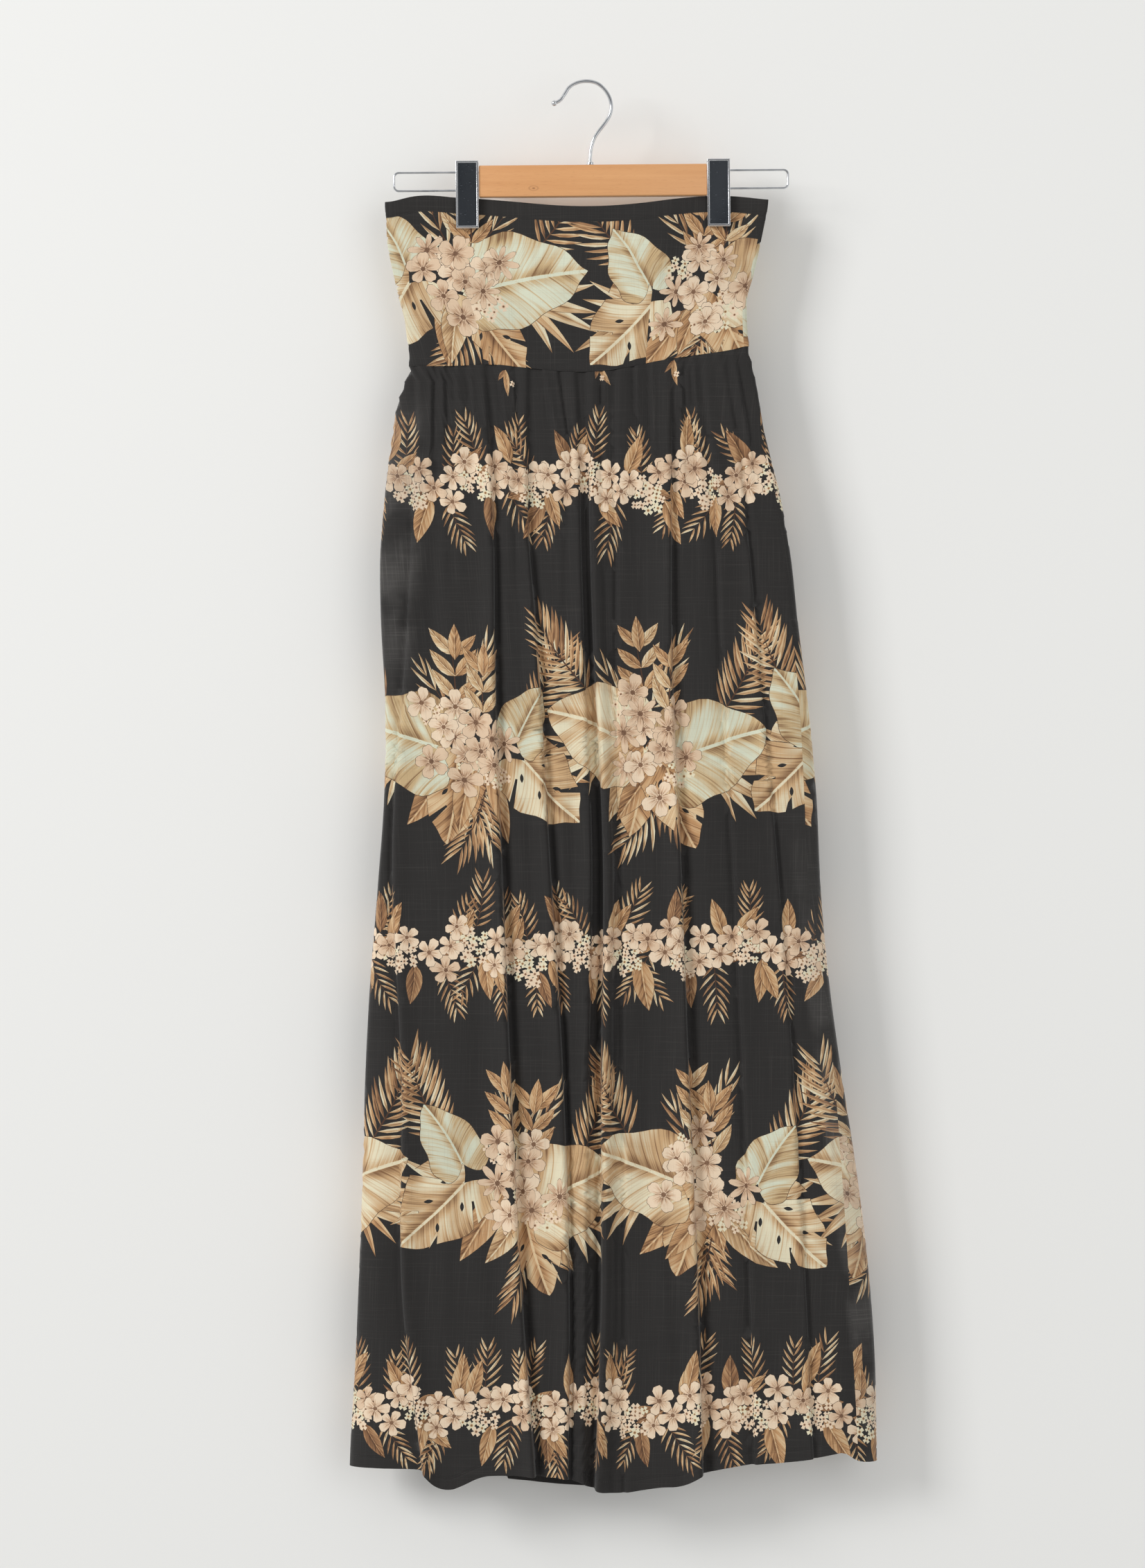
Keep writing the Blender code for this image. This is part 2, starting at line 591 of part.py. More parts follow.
def wall_grid(rings, columns, extra, lift):
    """Inner and outer points of one piece cut from the tube.

    Args:
        rings: the closed sections, from the upper edge to the lower one.
        columns: the piece's column numbers, from one side seam to the other.
        extra: the added thickness of each row.
        lift: how far the first row is lowered, for the gap to the piece above.

    Returns:
        Two arrays of rows of points, in metres.
    """
    inner_rows = []
    outer_rows = []
    for row, ring in enumerate(rings):
        normals = section_normals(ring)
        count = len(ring)
        points = ring[[column_number % count for column_number in columns]].copy()
        facing = normals[[column_number % count for column_number in columns]]
        for end, step in ((0, 1), (-1, -1)):
            number = columns[end] % count
            along = ring[(number + step) % count] - ring[number]
            points[end] += along / np.linalg.norm(along) * SEAM_GAP / 2
        drops = points[:, 2] + (lift if row == 0 else 0.0)
        for rows, offset in ((inner_rows, -WALL / 2), (outer_rows, WALL / 2 + extra[row])):
            xy = points[:, :2] + facing * offset
            rows.append(np.column_stack((xy[:, 0], xy[:, 1], -drops)) * MM)
    return np.array(inner_rows), np.array(outer_rows)


def wall_object(name, inner, outer, material):
    """Join two grids of points into one closed wall."""
    mesh = bpy.data.meshes.new(name)
    body = bmesh.new()
    rows, columns = outer.shape[:2]
    outer_verts = [[body.verts.new(point) for point in row] for row in outer]
    inner_verts = [[body.verts.new(point) for point in row] for row in inner]

    def quad(a, b, c, d):
        body.faces.new((a, b, c))
        body.faces.new((a, c, d))

    for row in range(rows - 1):
        for place in range(columns - 1):
            quad(outer_verts[row][place], outer_verts[row + 1][place],
                 outer_verts[row + 1][place + 1], outer_verts[row][place + 1])
            quad(inner_verts[row][place + 1], inner_verts[row + 1][place + 1],
                 inner_verts[row + 1][place], inner_verts[row][place])
    for place in range(columns - 1):
        quad(inner_verts[0][place], outer_verts[0][place],
             outer_verts[0][place + 1], inner_verts[0][place + 1])
        quad(inner_verts[-1][place + 1], outer_verts[-1][place + 1],
             outer_verts[-1][place], inner_verts[-1][place])
    for row in range(rows - 1):
        quad(inner_verts[row + 1][0], outer_verts[row + 1][0],
             outer_verts[row][0], inner_verts[row][0])
        quad(inner_verts[row][-1], outer_verts[row][-1],
             outer_verts[row + 1][-1], inner_verts[row + 1][-1])
    bmesh.ops.recalc_face_normals(body, faces=body.faces)
    body.to_mesh(mesh)
    body.free()
    return add_object(name, mesh, material)


def add_object(name, data, material):
    """Link a new object with its material to the scene."""
    item = bpy.data.objects.new(name, data)
    data.materials.append(surface(material))
    bpy.context.scene.collection.objects.link(item)
    return item


def surface(material):
    """Return the Blender material for a named finish."""
    found = bpy.data.materials.get(material.name)
    if found:
        return found
    made = bpy.data.materials.new(material.name)
    made.use_nodes = True
    shader = made.node_tree.nodes["Principled BSDF"]
    shader.inputs["Base Color"].default_value = (*material.colour, 1.0)
    shader.inputs["Roughness"].default_value = material.roughness
    shader.inputs["Metallic"].default_value = material.metallic
    return made


def make_pieces(names, sections, extra, lift):
    """Cut a stack of sections at the side seams into a front and a back piece."""
    rings = [ring for ring, _ in sections]
    right_index = sections[0][1]
    front_columns = list(range(right_index + 1))
    back_columns = list(range(right_index, len(rings[0]) + 1))
    for name, columns in zip(names, (front_columns, back_columns)):
        inner, outer = wall_grid(rings, columns, extra, lift)
        wall_object(name, inner, outer, CLOTH)


def make_bodice():
    """Bodice front and back, with a turned casing along the top."""
    sections = [bodice_section(share) for share in BODICE_ROWS]
    extra = [TURNING if share <= CASING_SHARE else 0.0 for share in BODICE_ROWS]
    make_pieces(("bodice_front", "bodice_back"), sections, extra, 0.0)


def make_skirt():
    """Skirt front and back, with a turned hem."""
    sections = [skirt_section(share) for share in SKIRT_ROWS]
    extra = [TURNING if share >= HEM_SHARE else 0.0 for share in SKIRT_ROWS]
    make_pieces(("skirt_front", "skirt_back"), sections, extra, SEAM_GAP)


# ---------------------------------------------------------------- hanger

def make_hanger_frame():
    """Empty at the foot of the hook's shank that carries the tilted bar, loops and clips."""
    frame = bpy.data.objects.new("hanger_frame", None)
    frame.location = (HOOK_SHANK * MM, 0.0, -BAR_TOP * MM)
    frame.rotation_euler = (0.0, -HANGER_TILT, 0.0)
    bpy.context.scene.collection.objects.link(frame)
    return frame


def make_bar(frame):
    """Wooden bar with softened edges."""
    body = bmesh.new()
    bmesh.ops.create_cube(body, size=1.0)
    size = np.array((BAR_LENGTH, BAR_THICKNESS, BAR_HEIGHT)) * MM
    centre = np.array((BAR_START + BAR_LENGTH / 2, 0.0, -BAR_HEIGHT / 2)) * MM
    for vert in body.verts:
        vert.co = centre + np.array(vert.co) * size
    mesh = bpy.data.meshes.new("hanger_bar")
    body.to_mesh(mesh)
    body.free()
    bar = add_object("hanger_bar", mesh, WOOD)
    bar.parent = frame
    bevel = bar.modifiers.new("soft edges", "BEVEL")
    bevel.width = BAR_EDGE * MM
    bevel.segments = 2
    bevel.limit_method = "ANGLE"


def wire_object(name, route, widths, frame=None):
    """Round wire along a route of (x, drop) points, with its width at each point."""
    curve = bpy.data.curves.new(name, "CURVE")
    curve.dimensions = "3D"
    curve.bevel_depth = 0.5 * MM
    curve.bevel_resolution = 3
    curve.use_fill_caps = True
    spline = curve.splines.new("POLY")
    spline.points.add(len(route) - 1)
    for point, (x, drop), width in zip(spline.points, route, widths):
        point.co = (x * MM, 0.0, -drop * MM, 1.0)
        point.radius = width
    wire = add_object(name, curve, CHROME)
    wire.parent = frame
    return wire


def smooth_route(points, count):
    """Even points on a smooth curve through a wire's route."""
    xs = column(points, "x")
    drops = column(points, "drop")
    lengths = np.concatenate(((0.0,), np.cumsum(np.hypot(np.diff(xs), np.diff(drops)))))
    where = np.linspace(0.0, lengths[-1], count)
    return where, list(zip(smooth_between(where, lengths, xs), smooth_between(where, lengths, drops)))


def make_hook():
    """Wire hook with a ball at its tip and a collar where it enters the bar."""
    where, route = smooth_route(HOOK_ROUTE, HOOK_POINTS)
    widths = []
    for length in where:
        width = HOOK_WIRE
        if length < HOOK_BALL:
            round_part = HOOK_BALL ** 2 - (2 * length - HOOK_BALL) ** 2
            width = math.sqrt(max(round_part, (HOOK_WIRE / 2) ** 2))
        if where[-1] - length < HOOK_COLLAR_LENGTH:
            width = HOOK_COLLAR
        widths.append(width)
    wire_object("hook", route, widths)


def loop_route(reach, bar_end):
    """Route of a side loop: out along the upper wire and back along the lower one."""
    side = 1 if reach > 0 else -1
    route = [(bar_end, UPPER_WIRE)]
    for centre_drop, start in ((UPPER_WIRE + LOOP_CORNER, -90), (LOWER_WIRE - LOOP_CORNER, 0)):
        for step in range(5):
            turn = math.radians(start + 90 * step / 4)
            route.append((
                reach - side * LOOP_CORNER + side * LOOP_CORNER * math.cos(turn),
                centre_drop + LOOP_CORNER * math.sin(turn),
            ))
    route.append((bar_end, LOWER_WIRE))
    return route


def make_loops(frame):
    """Wire loops that carry the clips on both sides of the bar."""
    ends = {"left": BAR_START - SEAM_GAP, "right": BAR_START + BAR_LENGTH + SEAM_GAP}
    for side, reach in LOOP_REACH.items():
        route = loop_route(reach, ends[side])
        wire_object("wire_loop_" + side, route, [WIRE] * len(route), frame)


def clip_profile():
    """A clip's profile, as (y, z) points below the bar's top.

    A clip is two plates joined by a block that rides between the two wires, and each plate
    ends in a lip that grips the cloth.
    """
    outer = CLIP_HALF_DEPTH
    inner = CLIP_HALF_DEPTH - CLIP_PLATE
    top = CLIP_ABOVE_BAR
    foot = CLIP_ABOVE_BAR - CLIP_LENGTH
    block_top = -(UPPER_WIRE + WIRE / 2 + SEAM_GAP)
    block_foot = -(LOWER_WIRE - WIRE / 2 - SEAM_GAP)
    half = [
        (inner, block_top), (inner, top), (outer, top), (outer, foot), (CLIP_LIP_REACH, foot),
        (CLIP_LIP_REACH, foot + CLIP_LIP), (inner, foot + CLIP_LIP), (inner, block_foot),
    ]
    return half + [(-y, z) for y, z in reversed(half)]


def is_clip_face(face):
    """Whether a face is one of the clip's two broad outer faces."""
    return abs(face.calc_center_median().y) > (CLIP_HALF_DEPTH - CLIP_PLATE / 2) * MM


def make_clips(frame):
    """Two spring clips, each with a sunk face between raised edges."""
    for side, centre in zip(("left", "right"), clip_centres()):
        name = "clip_" + side
        body = bmesh.new()
        low = (centre - CLIP_WIDTH / 2) * MM
        face = body.faces.new([body.verts.new((low, y * MM, z * MM)) for y, z in clip_profile()])
        swept = bmesh.ops.extrude_face_region(body, geom=[face])
        moved = [item for item in swept["geom"] if isinstance(item, bmesh.types.BMVert)]
        bmesh.ops.translate(body, verts=moved, vec=(CLIP_WIDTH * MM, 0.0, 0.0))
        bmesh.ops.recalc_face_normals(body, faces=body.faces)
        plates = [face for face in body.faces if is_clip_face(face)]
        bmesh.ops.inset_individual(
            body, faces=plates, thickness=CLIP_RIM * MM, depth=-CLIP_RECESS * MM
        )
        bmesh.ops.triangulate(body, faces=body.faces)
        mesh = bpy.data.meshes.new(name)
        body.to_mesh(mesh)
        body.free()
        clip = add_object(name, mesh, CHROME)
        clip.parent = frame


def main():
    """Clear the scene and build the dress on its hanger."""
    for item in list(bpy.data.objects):
        bpy.data.objects.remove(item)
    make_bodice()
    make_skirt()
    frame = make_hanger_frame()
    make_bar(frame)
    make_hook()
    make_loops(frame)
    make_clips(frame)


if __name__ == "__main__":
    main()
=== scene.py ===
"""Looks of a strapless maxi dress on its clip hanger.

The cloth is laid out as flat pattern pieces.  A print of flowers and leaves is drawn on
each piece, the piece is cut into triangles along the print's outlines, and every point is
then carried from the flat pattern to the folded cloth.  Tables and sizes are millimetres,
"drop" is the distance below the hook's inside top, and only finished meshes are metres.
"""

import logging
import math
from dataclasses import dataclass, field
from enum import Enum
from typing import Callable, NamedTuple, Sequence

import bmesh
import bpy
import numpy as np
from mathutils.geometry import delaunay_2d_cdt
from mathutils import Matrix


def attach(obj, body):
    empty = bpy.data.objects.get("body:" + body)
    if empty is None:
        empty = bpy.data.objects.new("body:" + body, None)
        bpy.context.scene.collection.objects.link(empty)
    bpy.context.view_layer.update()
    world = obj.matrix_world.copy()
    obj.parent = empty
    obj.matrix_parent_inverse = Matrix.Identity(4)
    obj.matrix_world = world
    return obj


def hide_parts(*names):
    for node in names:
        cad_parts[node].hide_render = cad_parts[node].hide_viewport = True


MM = 0.001
LOG = logging.getLogger("maxi_dress")

Array = np.ndarray
Drops = Callable[[float], float]
Finish = bpy.types.Material
Piece = bpy.types.Object
Socket = bpy.types.NodeSocket
Spot = tuple[float, float]
Triple = tuple[float, float, float]

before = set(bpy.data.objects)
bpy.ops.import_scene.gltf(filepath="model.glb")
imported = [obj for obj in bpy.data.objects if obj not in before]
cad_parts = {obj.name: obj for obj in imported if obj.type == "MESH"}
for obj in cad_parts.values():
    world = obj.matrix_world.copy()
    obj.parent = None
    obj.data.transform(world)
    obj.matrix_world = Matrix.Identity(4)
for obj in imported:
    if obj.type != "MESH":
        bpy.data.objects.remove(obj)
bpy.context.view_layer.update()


# ------------------------------------------------------------------ tables of the form

class Section(NamedTuple):
    """Outline of the hanging tube at a drop; depth and side are half depths."""

    drop: float
    left: float
    right: float
    right_seam: float
    wrap: float
    depth: float
    side: float


class Fold(NamedTuple):
    """A long fold: its crest's x at FOLD_DROPS and its rise at RISE_DROPS."""

    faces: str
    crest: tuple[float, ...]
    rise: tuple[float, ...]

    @property
    def waist(self) -> float:
        """The crest's x at the waist seam."""
        return self.crest[0]


class Pleat(NamedTuple):
    """A small pleat pressed in at the waist."""

    faces: str
    waist: float
    hip: float
    rise_waist: float
    rise_hip: float


class Dart(NamedTuple):
    """A bust dart of the bodice front."""

    foot_x: float
    tip_x: float
    tip_drop: float


class Control(NamedTuple):
    """A control point across a section: its x, its rise and the columns after it."""

    x: float
    rise: float
    samples: int


class Crease(NamedTuple):
    """A soft trough (depth below zero) or ridge, from its upper end down."""

    x: float
    drop: float
    length: float
    lean: float
    width: float
    depth: float


def table(kind: type, *rows: tuple) -> tuple:
    """Name the values of a table's rows."""
    return tuple(kind(*row) for row in rows)


SECTIONS = table(
    Section,
    (108, -198.0, 179.0, 176.5, 3.0, 3.6, 2.2),
    (122, -198.2, 177.8, 175.5, 3.0, 3.8, 2.2),
    (136, -196.9, 175.1, 172.5, 3.0, 4.2, 2.2),
    (153, -196.2, 171.7, 169.0, 3.0, 5.4, 2.3),
    (190, -189.4, 163.5, 160.5, 3.5, 7.0, 2.6),
    (211, -184.6, 157.6, 154.6, 3.5, 7.0, 2.7),
    (231, -179.2, 157.4, 153.6, 4.0, 6.8, 2.8),
    (252, -176.5, 158.8, 154.6, 4.5, 6.5, 3.0),
    (272, -174.2, 162.0, 156.5, 5.0, 6.5, 3.0),
    (290, -178.0, 165.7, 162.0, 5.0, 7.0, 3.4),
    (313, -186.0, 169.7, 166.5, 6.0, 7.8, 3.8),
    (340, -190.4, 174.0, 171.5, 7.0, 9.0, 4.2),
    (361, -193.6, 179.0, 176.2, 8.0, 10.0, 4.6),
    (399, -198.0, 188.7, 185.4, 9.0, 11.5, 5.2),
    (462, -203.0, 200.3, 192.8, 11.0, 13.5, 6.0),
    (523, -202.6, 206.9, 199.6, 13.0, 15.0, 6.8),
    (608, -198.2, 217.5, 207.7, 15.0, 17.0, 7.6),
    (702, -199.0, 226.1, 211.8, 16.0, 18.5, 8.2),
    (787, -205.3, 230.0, 215.6, 17.0, 19.5, 8.6),
    (886, -213.4, 238.6, 233.0, 18.0, 20.5, 9.0),
    (968, -217.8, 249.9, 241.7, 18.0, 21.0, 9.2),
    (1053, -220.4, 263.3, 247.2, 19.0, 22.0, 9.6),
    (1151, -223.7, 276.0, 252.6, 20.0, 23.0, 10.0),
    (1244, -227.5, 283.2, 257.4, 20.0, 24.0, 10.4),
    (1338, -233.0, 285.3, 262.8, 20.0, 25.0, 11.0),
    (1385, -235.0, 285.6, 264.5, 20.0, 25.5, 11.2),
)
TOP_EDGE = (
    (-198, 121.4), (-186, 114.9), (-169, 110.9), (-154, 110.2),
    (-128, 112.6), (-105, 113.4), (-85, 115.6), (-60, 117.8),
    (-38, 120.0), (-2, 121.4), (32, 120.2), (59, 117.5),
    (86, 113.9), (106, 111.6), (140, 110.8), (159, 112.0),
    (173, 115.3), (179, 116.9),
)
WAIST_FRONT = (
    (-174, 278.1), (-130, 278.1), (-90, 276.8), (-53, 280.8),
    (-11, 284.2), (26, 282.2), (62, 274.7), (98, 268.6),
    (129, 264.5), (162, 258.4),
)
WAIST_BACK = (
    (-174, 278.1), (-60, 279.5), (60, 272.0), (162, 258.4),
)
HEM_FRONT = (
    (-232, 1350.0), (-198, 1357.0), (-162, 1358.0),
    (-154, 1368.5), (-96, 1363.0), (-50, 1363.5), (-8, 1369.0),
    (6, 1375.5), (74, 1374.0), (98, 1371.5), (112, 1362.5),
    (142, 1354.5), (210, 1348.4), (262, 1338.0), (285, 1332.0),
)
HEM_BACK = (
    (-232, 1350.0), (-120, 1366.0), (-20, 1379.0),
    (60, 1379.0), (160, 1356.0), (262, 1336.0), (285, 1332.0),
)

FOLD_DROPS = (272, 365, 440, 540, 760, 975, 1190, 1370)
RISE_DROPS = (272, 440, 760, 1370)
FRONT_FOLDS = table(
    Fold,
    ("left", (-164, -166, -169, -174, -188, -179, -178, -157), (1.8, 2.8, 5.0, 9.0)),
    ("right", (-102, -96, -93, -92, -85, -76, -65, -51), (2.2, 6.0, 10.0, 12.0)),
    ("right", (-59, -60, -59, -51, -38, -25, -19, -20), (2.2, 5.5, 8.0, 7.0)),
    ("right", (-13, -9, -8, -5, 3, 0, -2, -4), (2.2, 4.5, 6.0, 1.6)),
    ("left", (2, 4, 5, 8, 18, 16, 16, 10), (2.2, 6.0, 11.0, 13.0)),
    ("left", (32, 31, 32, 32, 36, 38, 40, 40), (2.0, 2.2, 1.8, 1.4)),
    ("right", (81, 81, 81, 81, 90, 98, 107, 112), (2.2, 5.5, 9.0, 11.0)),
    ("left", (115, 123, 129, 133, 145, 155, 162, 166), (2.0, 3.0, 3.0, 4.0)),
    ("right", (132, 147, 155, 164, 184, 200, 212, 220), (1.8, 2.2, 3.0, 3.0)),
)
BACK_FOLDS = table(
    Fold,
    ("left", (-128, -132, -138, -142, -148, -150, -154, -160), (1.6, 4.0, 7.0, 9.0)),
    ("right", (-66, -62, -60, -60, -64, -70, -74, -80), (1.6, 5.0, 8.0, 10.0)),
    ("left", (-8, -6, -4, 0, 6, 10, 14, 18), (1.8, 5.0, 9.0, 11.0)),
    ("right", (52, 58, 64, 70, 84, 96, 104, 112), (1.6, 5.0, 8.0, 9.0)),
    ("left", (112, 122, 132, 142, 162, 180, 192, 204), (1.6, 3.5, 6.0, 8.0)),
)
FRONT_PLEATS = table(
    Pleat,
    ("right", -152, -153, 2.0, 2.0), ("right", -141, -139, 2.1, 1.8),
    ("left", -128, -127, 2.0, 2.4), ("left", -116, -106, 2.2, 3.2),
    ("left", -87, -76, 2.3, 3.4), ("right", -74, -68, 1.8, 1.2),
    ("left", -44, -26, 2.3, 3.6), ("right", -31, -18, 1.8, 1.4),
    ("left", 17, 17, 2.0, 1.6), ("left", 48, 51, 2.1, 2.2),
    ("left", 63, 66, 2.0, 2.4), ("right", 92, 95, 2.0, 1.8),
    ("left", 104, 110, 2.1, 2.6), ("right", 145, 161, 1.8, 1.6),
)
DARTS = table(Dart, (-101, -121, 196), (58, 68, 180))

# Controls of a section: at its left side, across one dart, and left of, between and right of the darts.
SIDE_CONTROLS = 3
DART_CONTROLS = 3
BETWEEN_DARTS = (4, 8, 5)


# ------------------------------------------------------------------ curves

def column(table: Sequence[tuple], name: str) -> Array:
    """Return one named column of a table."""
    return np.array([getattr(row, name) for row in table], dtype=float)


def smooth_between(where: float, places: Sequence[float], values: Sequence[float]) -> Array:
    """Read a smooth curve through values, flat past both ends.

    Args:
        where: the place or places to read.
        places: rising places of the values.
        values: the values.

    Returns:
        The curve's values there.
    """
    places = np.asarray(places, dtype=float)
    values = np.asarray(values, dtype=float)
    where = np.clip(where, places[0], places[-1])
    slopes = np.gradient(values, places)
    index = np.clip(np.searchsorted(places, where, side="right") - 1, 0, len(places) - 2)
    span = places[index + 1] - places[index]
    t = (where - places[index]) / span
    rise = t * t * (3 - 2 * t)
    bent = slopes[index] * t * (1 - t) ** 2 * span - slopes[index + 1] * t * t * (1 - t) * span
    return values[index] * (1 - rise) + values[index + 1] * rise + bent


def side_of(name: str) -> int:
    """1 for right and -1 for left."""
    return 1 if name == "right" else -1


def edge_drop(edge: Sequence[Spot], x: float) -> float:
    """Read the drop of an edge or seam, given as (x, drop) points, at a place across the dress."""
    return float(smooth_between(x, *zip(*edge)))


def bump(distance: Array, spread: float) -> Array:
    """A soft hill, one at the middle and nothing far away."""
    return np.exp(-((distance / spread) ** 2))


def ramp(value: Array, low: float, high: float) -> Array:
    """Rise softly from nothing at low to one at high."""
    t = np.clip((value - low) / (high - low), 0.0, 1.0)
    return t * t * (3 - 2 * t)


# ------------------------------------------------------------------ form of the dress

@dataclass(frozen=True)
class ClipPlace:
    """Where the clips press the cloth flat, in millimetres."""

    centres: Spot = (-117.4, 129.3)
    half: float = 13.6
    foot: float = 145.8
    spread: float = 20.0
    fade: float = 34.0
    depth: float = 0.75

    def hold(self, x: float, drop: float) -> float:
        """How far the clips press the two layers together, from 0 to 1."""
        share = 0.0
        for centre in self.centres:
            beside = max(abs(x - centre) - self.half, 0.0)
            fading = 1 - ramp(drop, self.foot, self.foot + self.fade)
            share = max(share, float(bump(beside, self.spread) * fading))
        return share


@dataclass(frozen=True)
class TubeForm:
    """Closed sections of the hanging dress, worked out from its outline, depth and folds.

    Sizes are millimetres: shoulder and flank are a long fold's widths before and after its
    crest, fold_room, foot_room and pleat_room the room at which folds stop being held back by
    their neighbours, and back_pitch, back_drop, back_clear and back_rises place the small
    pleats of the back.
    """

    clips: ClipPlace = ClipPlace()
    side_turn: float = 0.8
    left_fold_x: float = -190.0
    right_fold_x: float = 170.0
    bust_fullness: float = 2.6
    bust_spread: float = 42.0
    dart_crease: float = 1.3
    dart_inset: float = 3.0
    dart_side: float = 2.0
    shoulder: float = 7.0
    flank: float = 4.2
    pleat_flank: float = 2.6
    pleat_room: float = 5.0
    fold_room: float = 4.6
    foot_room: float = 7.5
    flat_between: float = 12.0
    room_share: float = 0.9
    clear_of_folds: float = 7.0
    least_rise: float = 0.8
    pleats_gone: float = 520.0
    back_pitch: float = 20.0
    back_drop: float = 290.0
    back_clear: float = 9.0
    back_rises: Triple = (2.0, 2.3, 1.8)

    def outline(self, name: str, drop: float) -> float:
        """Read a column of the outline table at a drop."""
        return float(smooth_between(drop, column(SECTIONS, "drop"), column(SECTIONS, name)))

    def half_depth(self, x: float, drop: float) -> float:
        """Half the depth of the unpleated tube at a place."""
        left, right = self.outline("left", drop), self.outline("right", drop)
        side, middle = self.outline("side", drop), self.outline("depth", drop)
        across = min(abs((x - (left + right) / 2) / ((right - left) / 2)), 1.0)
        return side + (middle - side) * (1 - across ** 4) ** 0.6

    def bodice_depth(self, x: float, drop: float) -> float:
        """Half the depth of the bodice, pressed flat at the clips."""
        depth = self.half_depth(x, drop)
        return depth + (self.clips.depth - depth) * self.clips.hold(x, drop)

    def bodice_front_depth(self, x: float, drop: float) -> float:
        """Half depth of the bodice front, with the bust's fullness above the darts."""
        depth = self.bodice_depth(x, drop)
        for dart in DARTS:
            away = math.hypot(x - dart.tip_x, drop - dart.tip_drop)
            depth += self.bust_fullness * float(bump(away, self.bust_spread)) * (1 - self.clips.hold(x, drop))
        return depth

    def dart_line(self, dart: Dart, drop: float) -> Spot:
        """The x of a dart's seam and how strongly it creases at a drop."""
        foot_drop = edge_drop(WAIST_FRONT, dart.foot_x)
        share = (foot_drop - drop) / (foot_drop - dart.tip_drop)
        bowed = min(max(share, 0.0) ** 1.5, 1.35)
        return dart.foot_x + (dart.tip_x - dart.foot_x) * bowed, float(ramp(1.0 - share, 0.0, 0.25))

    def fold_place(self, fold: Fold, drop: float) -> Spot:
        """The x and the rise of a long fold's crest at a drop."""
        x = float(smooth_between(drop, FOLD_DROPS, fold.crest))
        return x, float(smooth_between(drop, RISE_DROPS, fold.rise))

    def pleat_place(self, pleat: Pleat, drop: float, share: float, low: float, high: float) -> Spot:
        """The x and the rise of a small pleat between its two long folds."""
        pressed_x = float(np.interp(drop, FOLD_DROPS[:2], (pleat.waist, pleat.hip)))
        clear = min(self.clear_of_folds, 0.3 * (high - low))
        spread_x = low + clear + (high - low - 2 * clear) * share
        opened = float(ramp(drop, FOLD_DROPS[1], self.pleats_gone))
        places = (*FOLD_DROPS[:2], self.pleats_gone)
        rise = float(np.interp(drop, places, (pleat.rise_waist, pleat.rise_hip, 0.0)))
        return pressed_x + (spread_x - pressed_x) * opened, rise

    def back_pleats(self) -> tuple[Pleat, ...]:
        """Small pleats of the back, evenly pressed between its long folds."""
        low = self.outline("left", self.back_drop) + self.back_pitch
        high = self.outline("right", self.back_drop) - self.back_pitch
        count = int((high - low) / self.back_pitch)
        pleats = []
        for number in range(count + 1):
            x = low + (high - low) * number / count
            rise = self.back_rises[number % len(self.back_rises)]
            if min(abs(x - fold.waist) for fold in BACK_FOLDS) > self.back_clear:
                pleats.append(Pleat("right" if number % 2 else "left", x, x * 1.06, rise, rise * 1.2))
        return tuple(pleats)

    def pleat_order(self, folds: Sequence[Fold], pleats: Sequence[Pleat]) -> list[tuple]:
        """List folds and pleats from left to right, each pleat with its share between folds."""
        crests = [fold.waist for fold in folds]
        order = []
        for slot in range(len(folds) + 1):
            low = crests[slot - 1] if slot else -1e9
            high = crests[slot] if slot < len(folds) else 1e9
            inside = [pleat for pleat in pleats if low < pleat.waist < high]
            for number, pleat in enumerate(inside, start=1):
                order.append((pleat, slot, number / (len(inside) + 1)))
            if slot < len(folds):
                order.append((folds[slot], slot, None))
        return order

    def fold_controls(self, x: float, rise: float, faces: str, room: Spot) -> tuple[Control, ...]:
        """Controls across a long fold: its shoulder, crest, flank and foot."""
        side = side_of(faces)
        shoulder = min(self.shoulder, room[0])
        flank = min(self.flank, room[1])
        rise *= min(1.0, min(room) / self.fold_room)
        foot = -rise * 0.75 * min(1.0, room[1] / self.foot_room) ** 2
        controls = (
            Control(x - side * shoulder, rise * 0.55, 4),
            Control(x - side * 0.4, rise, 4),
            Control(x + side * flank / 2, rise * 0.1, 3),
            Control(x + side * flank, foot, 3),
        )
        return controls[::side]

    def pleat_controls(self, x: float, rise: float, faces: str, room: Spot) -> tuple[Control, ...]:
        """Controls across a small pleat: its crest and the foot of its short flank."""
        side = side_of(faces)
        crowded = min(1.0, min(room) / self.pleat_room)
        flank = min(self.pleat_flank, room[1])
        controls = (Control(x, rise * crowded, 3), Control(x + side * flank, -rise * crowded * 0.6, 2))
        return controls[::side]

    def room_beside(self, crest: Spot, neighbour: Spot) -> float:
        """Width that a fold may take towards its neighbour."""
        rise = max(crest[1], self.least_rise)
        other = max(neighbour[1], self.least_rise)
        return self.room_share * abs(neighbour[0] - crest[0]) * rise / (rise + other)

    def between(self, before: Control, after: Control) -> Control:
        """Control half way between two folds: flat where they are apart."""
        close = float(bump(after.x - before.x, self.flat_between))
        return Control((before.x + after.x) / 2, close * (before.rise + after.rise) / 2, 3)

